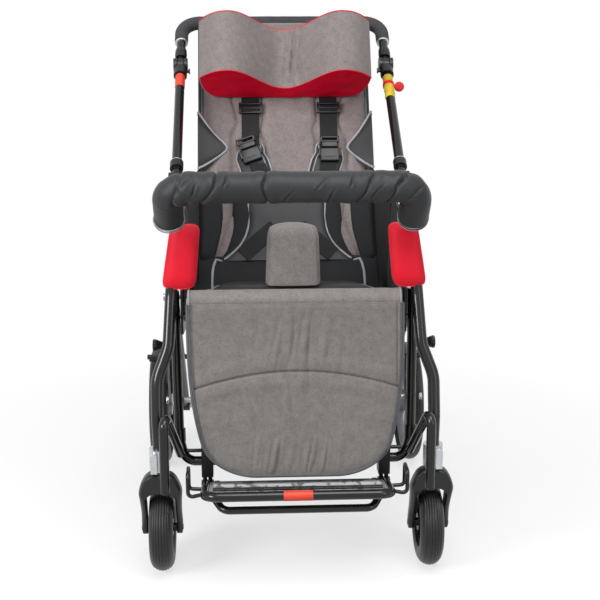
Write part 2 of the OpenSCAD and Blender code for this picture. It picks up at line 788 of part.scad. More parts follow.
module rear_tyre() color("#26272a") translate([rear_x, leg_foot[0], leg_foot[1]]) rotate([0, 90, 0]) difference() {
  rotate_extrude($fn = 2 * fine) translate([rear_r - rear_wheel_w / 2, 0]) circle(d = rear_wheel_w, $fn = fine);
  translate([0, 0, -rear_wheel_w]) cylinder(r = rear_r - rear_tread, h = 2 * rear_wheel_w, $fn = 2 * fine);
}
module rear_tyre_right() rear_tyre();
module rear_tyre_left() left() rear_tyre();

module rear_rim() color("#b9bbbe") translate([rear_x, leg_foot[0], leg_foot[1]]) rotate([0, 90, 0]) difference() {
  union() {
    wheel_ring(rear_r - rear_tread, rear_rim_lip, rear_rim_w);
    translate([0, 0, -rear_hub_half]) cylinder(r = rear_hub_r, h = 2 * rear_hub_half, $fn = fine);
    for (k = [1 : rear_spokes]) rotate([0, 0, 360 * k / rear_spokes])
      box([0, -rear_spoke / 2, -rear_spoke_t / 2], [rear_r - rear_tread - rear_rim_lip + over, rear_spoke / 2, rear_spoke_t / 2]);
  }
  translate([0, 0, -rear_wheel_w]) cylinder(r = stub_r + fit, h = 2 * rear_wheel_w, $fn = fine);
}
module rear_rim_right() rear_rim();
module rear_rim_left() left() rear_rim();

shoe_tip = brake_axis + shoe_arm * [cos(shoe_angle), sin(shoe_angle)];
module brake_bar() color("#1c1d1f") {
  disc_x(-brake_half, brake_half, brake_axis, brake_r);
  pair() {
    bar([shoe_in + brake_r, brake_axis[0], brake_axis[1]], [shoe_in + brake_r, shoe_tip[0], shoe_tip[1]], brake_r);
    disc_x(shoe_in, brake_half, shoe_tip, shoe_r);
  }
  in_yz(-pedal_half, pedal_half) translate(brake_axis) rotate(pedal_angle)
    translate([0, -pedal_t / 2]) square([pedal_arm, pedal_t]);
}

module clamp_knob() color("#101113") {
  disc_x(inner_foot[0] + 2 * knob_stud_r, inner_top[0] + inner_r + stud_l, knob_at, knob_stud_r);
  translate([inner_top[0] + inner_r + stud_l, knob_at[0], knob_at[1]]) rotate([0, 90, 0])
    cylinder(r1 = knob_r[0], r2 = knob_r[1], h = knob_l, $fn = fine);
}
module clamp_knob_right() clamp_knob();
module clamp_knob_left() left() clamp_knob();

// Push handle
module handle_tubes() color("#17181a") pair() difference() {
  union() {
    disc_x(fold_x - knuckle_w / 2, fold_x + knuckle_w / 2, [fold_y, fold_z], knuckle_r);
    bar(along_handle(0), along_handle(tube_start + over), neck_r);
    bar(along_handle(tube_start), along_handle(handle_length - housing_l), handle_r);
  }
  disc_x(fold_x - knuckle_w, fold_x + knuckle_w, [fold_y, fold_z], fold_pin_r + fit);
}

tilt_yz = [tilt_at[1], tilt_at[2]];
button_at = [for (i = [1, 2]) along_handle(handle_length - button_s)[i]];
module tilt_housings() color("#141517") pair() {
  difference() {
    union() {
      bar(along_handle(handle_length - housing_l), tilt_at, housing_r);
      disc_x(fold_x - tilt_width / 2, fold_x + tilt_width / 2, tilt_yz, tilt_cheek_r);
    }
    on_handle() box([fold_x - tilt_slot / 2, handle_length - slot_back, -2 * housing_r],
      [fold_x + tilt_slot / 2, handle_length + 2 * housing_r, 2 * housing_r]);
    disc_x(fold_x - tilt_width, fold_x - housing_r + button_bore, button_at, button_stem_r + fit);
  }
  disc_x(fold_x - tilt_width / 2, fold_x + tilt_width / 2, tilt_yz, fold_pin_r);
}

module lock_collars() color("#141517") pair() difference() {
  union() {
    bar(along_handle(collar_s), along_handle(collar_s + collar_l), lock_collar_r);
    bar(along_handle(collar_s + collar_l), along_handle(collar_s + collar_l + ring_l), ring_r);
  }
  bar(along_handle(collar_s - over), along_handle(collar_s + collar_l + ring_l + over), handle_r + fit);
}

module sleeve_on_handle(s, r_in, r_out) difference() {
  bar(along_handle(s[0]), along_handle(s[1]), r_out);
  bar(along_handle(s[0] - over), along_handle(s[1] + over), r_in);
}
module handle_trim() {
  left() color("#e8502c") sleeve_on_handle(band_s, handle_r, trim_r);
  color("#d9b32c") sleeve_on_handle(sleeve_s, handle_r, trim_r);
  color("#d32a2a") {
    sleeve_on_handle(tie_s, trim_r, ring_r);
    translate(along_handle(tie_s[0], fold_x + ring_r + tag_r - over)) rotate([90, 0, 0])
      cylinder(r = tag_r, h = tag_t, $fn = fine);
  }
}

grip_route = route(mirrored([along_grip(clamp_start), along_grip(handle_reach)]), grip_bend);
foam_route = route(mirrored([along_grip(foam_start), along_grip(handle_reach)]), grip_bend);
grip_side = [0, -sin(grip_angle), cos(grip_angle)];
module grip_bar() color("#17181a") difference() {
  union() {
    sweep(grip_route, handle_r, grip_side);
    pair() {
      disc_x(fold_x - tilt_disc / 2, fold_x + tilt_disc / 2, tilt_yz, tilt_eye_r);
      bar(tilt_at, along_grip(clamp_start + over), tilt_disc / 2);
      bar(along_grip(clamp_start), along_grip(clamp_end), clamp_r);
    }
  }
  pair() disc_x(fold_x - tilt_width, fold_x + tilt_width, tilt_yz, fold_pin_r + fit);
}
module grip_foam() color("#2a2b2d") sweep(foam_route, grip_r, grip_side);

module tilt_button() color("#0f1011") {
  disc_x(fold_x - housing_r - button_out, fold_x - housing_r - button_out + button_h, button_at, button_r);
  disc_x(fold_x - housing_r - button_out, fold_x - housing_r + button_bore - button_end_gap, button_at, button_stem_r);
}
module tilt_button_right() tilt_button();
module tilt_button_left() left() tilt_button();

// Backrest, harness and headrest
module back_frame() color("#17181a") difference() {
  union() {
    on_back() {
      pair() bar([back_tube_u, back_tube_v[0], back_tube_w], [back_tube_u, back_tube_v[1], back_tube_w], back_tube_r);
      box([-back_tube_u, back_board[0], back_tube_w + back_tube_r - over],
        [back_tube_u, back_board[1], back_base - gap]);
    }
    pair() {
      bar(back_point(back_tube_u, back_tube_v[0] + back_tube_r, back_tube_w), [back_tube_u, hinge[0], hinge[1]], back_tube_r);
      disc_x(back_eye_in, back_eye_out, hinge, back_eye_r);
    }
  }
  pair() disc_x(back_tube_u - back_eye_out, back_eye_out + over, hinge, hinge_pin_r + fit);
}
function back_point(u, v, w) = [u, back_origin[0] + v * sin(recline) - w * cos(recline),
  back_origin[1] + v * cos(recline) + w * sin(recline)];

module back_cushion() color("#86817b") on_back() {
  reach = function (s, t, w) [(2 * s - 1) * back_w / 2, back_low + t * back_h, back_base + w];
  skin(10, 14, function (s, t) reach(s, t, back_t * mix(edge_share, 1, bump(s) * bump(t))),
    function (s, t) reach(s, t, 0));
}

back_face = back_base + back_t;
module harness() on_back() {
  color("#1f2022") translate([0, vest_low, back_face + strap_gap]) linear_extrude(vest_t)
    polygon([for (p = vest_shares) [p[0] * vest_half, p[1] * vest_h]]);
  color("#111214") for (u = strap_u) {
    box([u - strap_half, strap_v[0], back_face + strap_gap], [u + strap_half, strap_v[1], back_face + strap_gap + strap_t]);
    box([u - adjuster[0] / 2, adjuster_v, back_face + strap_gap], [u + adjuster[0] / 2, adjuster_v + adjuster[1],
      back_face + strap_gap + adjuster[2]]);
  }
  color("#0d0e0f") for (u = strap_u) translate([u - buckle[0] / 2, buckle_v, back_face + strap_gap + vest_t + gap])
    cube(buckle);
}

module headrest() color("#8f8a84") on_back() {
  depth = function (u) let (a = abs(u), half = head_w / 2)
    a < head_peak ? mix(head_middle, head_wing, (1 - cos(180 * a / head_peak)) / 2)
    : mix(head_wing, head_end, pow((a - head_peak) / (half - head_peak), 2));
  skin(20, 6,
    function (s, t) let (u = (2 * s - 1) * head_w / 2)
      [u, head_v + t * head_h, back_face + gap + depth(u) * mix(head_edge_share, 1, bump(t))],
    function (s, t) [(2 * s - 1) * head_w / 2, head_v + t * head_h, back_face + gap]);
}

// Footrest
module footrest_clamps() color("#141517") pair() difference() {
  box([clamp_box[0], clamp_y[0], clamp_z[0]], [clamp_box[1], clamp_y[1], clamp_z[1]]);
  disc_x(clamp_box[0] - over, clamp_box[1] + over, [inner_foot[1], cross_z], inner_r);
  disc_x(clamp_box[0] - over, clamp_box[1] + over, [inner_foot[1], tie_z], tie_r);
  for (x = hanger_x) translate([x, hanger_y, clamp_z[0] - over])
    cylinder(r = hanger_r + fit, h = clamp_z[1] - clamp_z[0] + 2 * over, $fn = fine);
}

module foot_hangers() color("#17181a") pair() {
  for (x = hanger_x) translate([x, hanger_y, foot_hinge[1]])
    cylinder(r = hanger_r, h = hanger_top - foot_hinge[1], $fn = fine);
  box([yoke[0], foot_hinge[0] - yoke_h / 2, foot_hinge[1] - yoke_h / 2],
    [yoke[1], foot_hinge[0] + yoke_h / 2, foot_hinge[1] + yoke_h / 2]);
  disc_x(lug_in, yoke[0] + over, foot_hinge, yoke_pin_r);
}

module foot_frame() color("#17181a") difference() {
  union() {
    sweep(route(mirrored([on_foot(foot_half, foot_start, 0), on_foot(foot_half, foot_depth, 0)]), foot_bend),
      foot_r, [0, sin(foot_tilt), cos(foot_tilt)]);
    sweep(route(mirrored([lower_start, [lower_half, lower_y, lower_z]]), lower_bend), lower_r, [0, -1, 1]);
    bar(on_foot(-foot_half, foot_cross_s, 0), on_foot(foot_half, foot_cross_s, 0), foot_cross_r);
    pair() {
      disc_x(lug_in, lug_in + lug_w, foot_hinge, lug_r);
      bar(on_foot(lug_in + lug_w / 2, 0, 0), on_foot(lug_in + lug_w / 2, foot_cross_s, 0), lug_bar_r);
    }
  }
  pair() disc_x(lug_in - over, lug_in + lug_w + over, foot_hinge, yoke_pin_r + fit);
}

foot_plate_half = foot_half - foot_r + plate_bite;
module foot_plate() color("#1b1c1e") in_foot() {
  box([-foot_plate_half, -(foot_depth - foot_r), foot_plate_lift],
    [foot_plate_half, -plate_start, foot_plate_lift + foot_plate_t]);
  for (k = [1 : foot_ribs]) translate([0, mix(-(foot_depth - foot_r), -plate_start, k / (foot_ribs + 1)), 0])
    box([rib_margin - foot_plate_half, -rib_w / 2, foot_plate_lift],
      [foot_plate_half - rib_margin, rib_w / 2, foot_plate_lift + foot_plate_t + rib_h]);
}

function side_bar_z(y) = foot_hinge[1] + (foot_hinge[0] - y) * tan(foot_tilt);
module foot_guards() color("#17181a") pair() sweep(route([[foot_half, wire_front, side_bar_z(wire_front)],
  [wire_x, wire_front, wire_low], [wire_x, wire_front, wire_top], [wire_x, wire_back, wire_top],
  [wire_x, wire_back, wire_low], [foot_half, wire_back, side_bar_z(wire_back)]], wire_bend),
  guard_wire_r, [1, 2, 3], tube_sides / 2 + 1);

// Bumper bar
bumper_bend = 45;
bumper_y = -60;
bumper_knee_y = 6;
bumper_knee = [socket_mid[0], bumper_knee_y, socket_mid[2]];
bumper_corner = [bumper_half, bumper_y, bumper_z];
cover_low = [7, 80];
cover_end = [bumper_half, cover_low[0], bumper_z - cover_low[1]];
module bumper_tube() color("#17181a") {
  sweep(route(mirrored([socket_mid - [0, gap, 0], bumper_knee, bumper_corner]), bumper_bend), handle_r, [0, 1, 1]);
  pair() bar(socket_mid - [0, gap + over, 0], socket_mid + [0, spigot_l, 0], spigot_r);
}
module bumper_cover() color("#34363a") sweep(route(mirrored([cover_end, bumper_corner]), bumper_bend),
  bumper_d / 2, [0, 1, 1], tube_sides + 4);

placed() side_tube_left();
placed() side_tube_right();
placed() inner_tubes();
placed() lower_cross_tube();
placed() caster_sockets();
placed() guard_loops();
placed() side_plates();
placed() seat_rails();
placed() seat_cross_tubes();
placed() seat_pan();
placed() recline_brackets();
placed() armrest_tubes();
placed() armrest_struts();
placed() armrest_pads();
placed() side_pads();
placed() side_panels();
placed() seat_cushion();
placed() seat_roll();
placed() calf_panel();
placed() pommel_socket();
placed() pommel_post();
placed() pommel_pad();
placed() footrest_clamps();
placed() frame_bolts();
placed() swivel_lock_left();
placed() swivel_lock_right();
placed() caster_fork_left();
placed() caster_fork_right();
placed() front_tyre_left();
placed() front_tyre_right();
placed() front_rim_left();
placed() front_rim_right();
placed() rear_leg_left();
placed() rear_leg_right();
placed() rear_axle();
placed() rear_tyre_left();
placed() rear_tyre_right();
placed() rear_rim_left();
placed() rear_rim_right();
placed() brake_bar();
placed() clamp_knob_left();
placed() clamp_knob_right();
placed() handle_tubes();
placed() tilt_housings();
placed() lock_collars();
placed() handle_trim();
placed() grip_bar();
placed() grip_foam();
placed() tilt_button_left();
placed() tilt_button_right();
placed() back_frame();
placed() back_cushion();
placed() harness();
placed() headrest();
placed() foot_hangers();
placed() foot_frame();
placed() foot_plate();
placed() foot_guards();
placed() bumper_tube();
placed() bumper_cover();
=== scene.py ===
"""Special needs stroller: upholstery, webbing, tubes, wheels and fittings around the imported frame."""
import bisect
import bpy
import math
from mathutils import Matrix, Vector, noise


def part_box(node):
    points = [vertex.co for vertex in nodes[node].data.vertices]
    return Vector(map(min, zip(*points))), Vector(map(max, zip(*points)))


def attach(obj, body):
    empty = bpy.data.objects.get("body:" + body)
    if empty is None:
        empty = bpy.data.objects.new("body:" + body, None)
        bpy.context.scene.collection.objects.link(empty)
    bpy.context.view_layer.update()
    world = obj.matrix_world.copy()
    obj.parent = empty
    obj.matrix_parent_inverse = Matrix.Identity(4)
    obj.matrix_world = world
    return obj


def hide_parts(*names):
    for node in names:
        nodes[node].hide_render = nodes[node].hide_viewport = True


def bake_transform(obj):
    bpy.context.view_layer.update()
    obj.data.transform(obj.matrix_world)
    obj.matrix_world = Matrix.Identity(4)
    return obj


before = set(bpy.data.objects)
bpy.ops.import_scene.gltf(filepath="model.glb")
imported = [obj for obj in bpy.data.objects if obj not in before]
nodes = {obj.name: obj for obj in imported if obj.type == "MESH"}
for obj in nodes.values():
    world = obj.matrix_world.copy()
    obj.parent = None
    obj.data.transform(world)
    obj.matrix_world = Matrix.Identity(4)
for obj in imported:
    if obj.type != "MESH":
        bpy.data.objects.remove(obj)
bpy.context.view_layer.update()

# In the sizes below, which are millimetres, y = 0 lies under the front hubs and the floor is z = FLOOR_Z.
# The frame has its origin on the floor, MID_Y behind the hubs.
AXLE_Y, FLOOR_Z = 590, 10
axle_low, axle_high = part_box("rear_axle")
MID_Y = AXLE_Y - 500 * (axle_low.y + axle_high.y)
SIDES = (("left", -1), ("right", 1))


def at(x, y, z):
    return Vector((x, y - MID_Y, z - FLOOR_Z)) / 1000


def mix(a, b, t):
    return a + (b - a) * t


def ease(t):
    t = min(1, max(0, t))
    return t * t * (3 - 2 * t)


def hump(x, middle, width):
    return math.exp(-((x - middle) / width) ** 2)


def ripple(x, y, z):
    return noise.noise(Vector((x, y, z)))


# Tilted parts: the angle of each, and the (y, z) it is measured from
RECLINE, BACK_FOOT = math.radians(30), (400, 545)
SEAT_TILT, SEAT_EDGE = math.radians(12), (60, 537)
FOOT_TILT, FOOT_HINGE = math.radians(12), (-6, 196.2)
HANDLE_TILT, HANDLE_PIVOT = math.radians(32.8), (300, 787)
GRIP_TILT, TILT_PIN = math.radians(36.3), 404
HANDLE_X, ARMREST_X, ARMREST_Z = 248, 242, 764


def on_back(u, v, w):
    return at(u, BACK_FOOT[0] + v * math.sin(RECLINE) - w * math.cos(RECLINE),
              BACK_FOOT[1] + v * math.cos(RECLINE) + w * math.sin(RECLINE))


def on_seat(x, y, z):
    return at(x, SEAT_EDGE[0] + y * math.cos(SEAT_TILT) + z * math.sin(SEAT_TILT),
              SEAT_EDGE[1] - y * math.sin(SEAT_TILT) + z * math.cos(SEAT_TILT))


def on_foot(x, s, n):
    return at(x, FOOT_HINGE[0] - s * math.cos(FOOT_TILT) + n * math.sin(FOOT_TILT),
              FOOT_HINGE[1] + s * math.sin(FOOT_TILT) + n * math.cos(FOOT_TILT))


def along_handle(s, x):
    return at(x, HANDLE_PIVOT[0] + s * math.cos(HANDLE_TILT), HANDLE_PIVOT[1] + s * math.sin(HANDLE_TILT))


def along_grip(s, x):
    return along_handle(TILT_PIN, x) + Vector((0, math.cos(GRIP_TILT), math.sin(GRIP_TILT))) * s / 1000


# Materials
def tone(code):
    parts = [int(code[i:i + 2], 16) / 255 for i in (0, 2, 4)]
    return [c / 12.92 if c < 0.04045 else ((c + 0.055) / 1.055) ** 2.4 for c in parts] + [1]


def blank_material(name):
    """A new material, its shader and the coordinates that every pattern reads."""
    material = bpy.data.materials.new(name)
    material.use_nodes = True
    tree = material.node_tree
    return material, tree.nodes["Principled BSDF"], node(tree, "TexCoord").outputs["Object"]


def given(thing, **settings):
    for key, value in settings.items():
        setattr(thing, key, value)
    return thing


def feed(made, **sockets):
    """Sets sockets of a node, each to a value or to the output of another node."""
    for key, value in sockets.items():
        target = made.inputs[key.replace("_", " ")]
        if isinstance(value, bpy.types.NodeSocket):
            value.id_data.links.new(value, target)
        else:
            target.default_value = value
    return made


def node(owner, kind, **sockets):
    """A new node in the tree that owner is, or belongs to."""
    return feed(owner.id_data.nodes.new("ShaderNode" + kind), **sockets)


def node_of(kind, *sources, **choices):
    """A node with its inputs filled in their order, since some of them share a name."""
    made = given(node(sources[0], kind), **choices)
    for source, target in zip(sources, made.inputs):
        source.id_data.links.new(source, target)
    return made


def wave_along(coords, direction, scale, distortion, detail=2.0):
    made = node(coords, "TexWave", Scale=scale, Distortion=distortion, Detail=detail, Vector=coords)
    return given(made, bands_direction=direction).outputs["Fac"]


def noise_at(coords, scale, detail=4.0, rough=0.6, stretch=None):
    if stretch:
        coords = node(coords, "Mapping", Vector=coords, Scale=stretch).outputs["Vector"]
    return node(coords, "TexNoise", Scale=scale, Detail=detail, Roughness=rough, Vector=coords).outputs["Fac"]


def ramp_of(source, *stops):
    ramp = node(source, "ValToRGB", Fac=source)
    elements = ramp.color_ramp.elements
    while len(elements) < len(stops):
        elements.new(0.5)
    for element, (place, colour) in zip(elements, stops):
        given(element, position=place, color=colour)
    return ramp.outputs["Color"]


def multiply(first, second, share):
    made = given(node(first, "Mix"), data_type="RGBA", blend_type="MULTIPLY")
    return feed(made, Factor=share, A=first, B=second).outputs["Result"]


def bump_on(height, strength, distance, below=None):
    made = node(height, "Bump", Strength=strength, Distance=distance, Height=height)
    if below:
        feed(made, Normal=below)
    return made.outputs["Normal"]


def spread_over(source, low, high):
    return node(source, "MapRange", Value=source, To_Min=low, To_Max=high).outputs["Result"]


def surface(name, light, dark, rough, mottle=12.0, grain=700.0, grain_depth=0.0002, grain_strength=0.3,
            metallic=0.0, coat=0.0, spread=0.05, gloss=0.5):
    material, shader, coords = blank_material(name)
    cloud = noise_at(coords, mottle, 6, 0.65)
    feed(shader, Base_Color=ramp_of(cloud, (0.32, tone(dark)), (0.68, tone(light))),
         Roughness=spread_over(cloud, rough - spread, rough + spread),
         Normal=bump_on(noise_at(coords, grain, 3), grain_strength, grain_depth),
         Metallic=metallic, Coat_Weight=coat, Coat_Roughness=0.12, Specular_IOR_Level=gloss)
    return material


def cloth_surface(name, light, dark, rough=0.9, mottle=55.0, fleck=300.0, fleck_share=0.4, weave=1400.0,
                  sheen=0.25, crease=0.0, gloss=0.25):
    material, shader, coords = blank_material(name)
    cloud = noise_at(coords, mottle, 7, 0.68)
    base = ramp_of(cloud, (0.3, tone(dark)), (0.7, tone(light)))
    flecks = ramp_of(noise_at(coords, fleck, 3, 0.7), (0.36, (0.45, 0.44, 0.43, 1)), (0.52, (1, 1, 1, 1)))
    warp, weft = (wave_along(coords, way, weave / 6.283, 0.6, 1.0) for way in ("X", "Z"))
    threads = node_of("Math", warp, weft, operation="MULTIPLY").outputs["Value"]
    normal = bump_on(noise_at(coords, 420, 3), 0.3, 0.0004, bump_on(threads, 0.25, 0.0002))
    if crease:
        normal = bump_on(noise_at(coords, 26, 2, 0.5, (1, 1, 0.35)), crease, 0.004, normal)
    feed(shader, Base_Color=multiply(base, flecks, fleck_share), Normal=normal,
         Roughness=spread_over(cloud, rough - 0.06, min(1, rough + 0.06)),
         Sheen_Weight=sheen, Sheen_Roughness=0.5, Specular_IOR_Level=gloss)
    return material


def ribbed_glint_surface(name, light, dark):
    material, shader, coords = blank_material(name)
    rows = wave_along(coords, "Y", 42.0, 0.3)
    # painted highlight: the light colour on the crest of each rib stands for the lamps' glint, broken into
    # dashes
    painted_glint = ramp_of(rows, (0.62, tone(dark)), (0.8, tone(light)))
    patches = noise_at(coords, 60, 2, 0.5, (1, 0.3, 0.3))
    glint_breaks = ramp_of(patches, (0.4, (0.12, 0.12, 0.12, 1)), (0.47, (1, 1, 1, 1)))
    feed(shader, Base_Color=multiply(painted_glint, glint_breaks, 0.85), Normal=bump_on(rows, 0.6, 0.0012), Roughness=0.4)
    return material


def webbing_surface(name, light, dark):
    material, shader, coords = blank_material(name)
    ribs, rows = wave_along(coords, "X", 90.0, 0.4), wave_along(coords, "Z", 130.0, 0.5)
    feed(shader, Base_Color=ramp_of(rows, (0.1, tone(dark)), (0.9, tone(light))),
         Normal=bump_on(rows, 0.4, 0.0003, bump_on(ribs, 0.4, 0.0004)),
         Roughness=spread_over(rows, 0.55, 0.75), Specular_IOR_Level=0.2)
    return material


SUEDE = cloth_surface("mottled grey suede", "867d7c", "756d6b", fleck_share=0.5, sheen=0.25)
# darker copy of the grey suede on the seat pad and calf panel: painted shade
SUEDE_SHADED = cloth_surface("mottled grey suede, darker for painted shade", "7a7673", "6a6663", fleck_share=0.4, sheen=0.2)
NYLON = cloth_surface("charcoal nylon", "2e2f31", "262729", 0.48, 9, 500, 0.2, 1800, 0.06, 0.15)
NYLON_DARK = cloth_surface("dark charcoal nylon", "232426", "1c1d1f", 0.6, 9, 500, 0.2, 1800, 0.06, 0.12, 0.1)
RED = cloth_surface("red cover cloth", "e4152e", "d40d27", 0.6, 9, 600, 0.1, 1900, 0.08, 0.1)
# brighter copy of the red cloth on the headrest's top and underside: painted light, mostly for the underside,
# which faces the floor
RED_HEAD_LIT = cloth_surface("red headrest cloth, brighter for painted light", "ff0c3a", "ee0430", 0.7, 9, 600, 0.05, 1900, 0.0, 0.1, 0.12)
PIPING = cloth_surface("light grey piping", "a3a5a9", "8a8c90", 0.6, 30, 500, 0.3, 1500, 0.2)
BINDING = cloth_surface("dark grey binding", "5c5e62", "4b4d51", 0.7, 30, 500, 0.3, 1500, 0.15)
# lighter copy of the grey suede on the seat roll and the pommel: painted light
SUEDE_LIT = cloth_surface("mottled grey suede, lighter for painted light", "8d8986", "7b7774", fleck_share=0.42, sheen=0.2)
WEBBING = webbing_surface("black webbing", "1b1c1e", "0f1011")
# dark ribbed foot plate with painted highlight dashes on its ribs
FOOT_RIBS_GLINT = ribbed_glint_surface("ribbed foot plate with painted glints", "dcdddf", "121314")
GLOSS = surface("gloss black powder coat", "131415", "0d0e0f", 0.2, 8, 500, 0.0001, 0.12, 0.0, 0.2, 0.04, 0.3)
SATIN = surface("satin black powder coat", "17181a", "111213", 0.4, 10, 700, 0.0002, 0.3, gloss=0.35)
MOULDED = surface("moulded black plastic", "1b1c1d", "141516", 0.38, 14, 900, 0.0002, 0.25, 0.0, 0.05,
                  gloss=0.35)
BUCKLE = surface("smooth black plastic", "111213", "0c0d0e", 0.3, 14, 900, 0.0001, 0.15, 0.0, 0.05, gloss=0.3)
LOCK = surface("light grey plastic", "cfd1d4", "bfc1c5", 0.38, 14, 900, 0.0001, 0.15, 0.0, 0.15)
SILVER = surface("brushed aluminium", "d4d5d8", "b5b7bb", 0.32, 22, 900, 0.0002, 0.3, 0.9)
STEEL = surface("zinc plated steel", "c6c7c9", "a7a9ad", 0.3, 40, 900, 0.0001, 0.2, 0.95)
RIM_GREY = surface("grey rim paint", "9a9ca0", "85878b", 0.35, 12, 700, 0.0001, 0.2, 0.4, 0.2)
TYRE = surface("tyre rubber", "1d1e1f", "161718", 0.42, 20, 500, 0.0003, 0.4, 0.0, 0.0, 0.06, 0.35)
FOAM = surface("cellular grip foam", "3a3b3f", "2c2d31", 0.86, 30, 900, 0.0009, 0.7)
RED_BAND = surface("orange red tape", "d9432c", "cb3a25", 0.5, 20, 700, 0.0001, 0.2)
YELLOW = cloth_surface("yellow ribbon", "d8bc32", "b99c20", 0.7, 60, 300, 0.5, 1500, 0.1)
TAG = cloth_surface("red and white tag", "e23a35", "c52324", 0.6, 60, 300, 0.5, 1500, 0.1)


# Making pieces
def only(piece):
    bpy.ops.object.select_all(action="DESELECT")
    piece.select_set(True)
    bpy.context.view_layer.objects.active = piece


def paint(piece, *materials):
    piece.data.materials.clear()
    for material in materials:
        piece.data.materials.append(material)


def smooth(piece, angle=40):
    only(piece)
    bpy.ops.object.shade_smooth_by_angle(angle=math.radians(angle))


def done(piece, name, body, materials, replaced=(), angle=40):
    piece.name = piece.data.name = name
    materials = materials if isinstance(materials, (list, tuple)) else (materials,)
    if not piece.data.materials:
        paint(piece, *materials)
    if angle:
        smooth(piece, angle)
    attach(piece, body)
    if replaced:
        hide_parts(*replaced)
    return piece


def new_piece(points, edges, faces):
    mesh = bpy.data.meshes.new("piece")
    mesh.from_pydata([tuple(p) for p in points], edges, faces)
    mesh.update()
    piece = bpy.data.objects.new("piece", mesh)
    bpy.context.scene.collection.objects.link(piece)
    only(piece)
    return piece


def welded(piece, gap=0.00001):
    """Merges doubled points and turns every face outwards."""
    only(piece)
    bpy.ops.object.mode_set(mode="EDIT")
    bpy.ops.mesh.select_all(action="SELECT")
    if gap:
        bpy.ops.mesh.remove_doubles(threshold=gap)
    bpy.ops.mesh.normals_make_consistent(inside=False)
    bpy.ops.object.mode_set(mode="OBJECT")
    return piece


def lofted(rings):
    """A closed skin over rings of points, with a fan at each end."""
    count = len(rings[0])
    points = [p for ring in rings for p in ring]
    faces = []
    for i in range(len(rings) - 1):
        for k in range(count):
            n = (k + 1) % count
            faces.append((i * count + k, i * count + n, (i + 1) * count + n, (i + 1) * count + k))
    for ring, first in ((rings[0], 0), (rings[-1], (len(rings) - 1) * count)):
        middle = sum(ring, Vector()) / count
        points.append(middle)
        for k in range(count):
            faces.append((len(points) - 1, first + k, first + (k + 1) % count))
    return welded(new_piece(points, [], faces))


def slab(across, along, front, back):
    """A closed pad between two skins, each a function of shares from 0 to 1."""
    points, faces = [], []
    for place in (front, back):
        for j in range(along + 1):
            for i in range(across + 1):
                points.append(place(i / across, j / along))
    row, side = across + 1, (across + 1) * (along + 1)
    for j in range(along):
        for i in range(across):
            a = j * row + i
            faces.append((a, a + 1, a + row + 1, a + row))
            faces.append((side + a, side + a + row, side + a + row + 1, side + a + 1))
    rim = list(range(across)) + [j * row + across for j in range(along)]
    rim += [along * row + i for i in range(across, 0, -1)] + [j * row for j in range(along, 0, -1)]
    for k, a in enumerate(rim):
        b = rim[(k + 1) % len(rim)]
        faces.append((a, side + a, side + b, b))
    return welded(new_piece(points, [], faces))


def moulded(cuts, place):
    """A cube divided evenly and pressed into shape; place maps each corner from -1 to 1."""
    bpy.ops.mesh.primitive_cube_add(size=2)
    piece = bpy.context.object
    bpy.ops.object.mode_set(mode="EDIT")
    bpy.ops.mesh.select_all(action="SELECT")
    bpy.ops.mesh.subdivide(number_cuts=cuts)
    bpy.ops.object.mode_set(mode="OBJECT")
    grid = [tuple(v.co) for v in piece.data.vertices]
    for vertex, share in zip(piece.data.vertices, grid):
        vertex.co = place(*share)
    return welded(piece, 0), grid


def seams_of(grid):
    return [i for i, g in enumerate(grid) if sum(abs(c) > 0.999 for c in g) > 1]


def swell(piece, pressure, cap, held, steps=16):
    """Blows the cover up with a cloth simulation, holding the seams, and limits how far a point moves."""
    still = [v.co.copy() for v in piece.data.vertices]
    group = piece.vertex_groups.new(name="seam")
    group.add(held, 1.0, "REPLACE")
    only(piece)
    cloth = piece.modifiers.new("Cloth", "CLOTH")
    given(cloth.settings, quality=6, mass=0.2, tension_stiffness=20, compression_stiffness=20,
          use_pressure=True, uniform_pressure_force=pressure, vertex_group_mass="seam")
    cloth.settings.effector_weights.gravity = 0
    given(cloth.point_cache, frame_start=1, frame_end=steps)
    for step in range(1, steps + 1):
        bpy.context.scene.frame_set(step)
    bpy.ops.object.modifier_apply(modifier=cloth.name)
    piece.vertex_groups.clear()
    for vertex, old in zip(piece.data.vertices, still):
        move = vertex.co - old
        if move.length > cap / 1000:
            vertex.co = old + move * (cap / 1000 / move.length)
    bpy.context.scene.frame_set(1)


def modified(piece, kind, **settings):
    only(piece)
    given(piece.modifiers.new(kind, kind), **settings)
    bpy.ops.object.modifier_apply(modifier=kind)


def subdivide(piece, levels=1):
    modified(piece, "SUBSURF", levels=levels, render_levels=levels)


def rounded(points, bend, steps=8):
    """The route through points, with its corners on arcs of radius bend, in metres."""
    route = [points[0]]
    for i in range(1, len(points) - 1):
        here = points[i]
        a, b = (points[i - 1] - here).normalized(), (points[i + 1] - here).normalized()
        turn = math.pi - a.angle(b)
        reach = bend * math.tan(turn / 2)
        middle = here + (a + b).normalized() * bend / math.cos(turn / 2)
        first, last = here + a * reach - middle, here + b * reach - middle
        axis = first.cross(last).normalized()
        for k in range(steps + 1):
            route.append(middle + Matrix.Rotation(turn * k / steps, 3, axis) @ first)
    route.append(points[-1])
    return route


def mirrored(points):
    return points + [Vector((-p.x, p.y, p.z)) for p in reversed(points)]


def tube(points, radius, bend=0.0, sides=20):
    """A round tube along a route, drawn as a curve with a round bevel and made a mesh."""
    route = rounded(points, bend) if bend else points
    bpy.ops.curve.primitive_bezier_curve_add()
    curve = bpy.context.object
    curve.data.splines.clear()
    spline = curve.data.splines.new("POLY")
    spline.points.add(len(route) - 1)
    for point, place in zip(spline.points, route):
        point.co = (*place, 1)
    given(curve.data, dimensions="3D", bevel_depth=radius, bevel_resolution=max(1, sides // 4 - 1),
          use_fill_caps=True)
    only(curve)
    bpy.ops.object.convert(target="MESH")
    return welded(bpy.context.object)


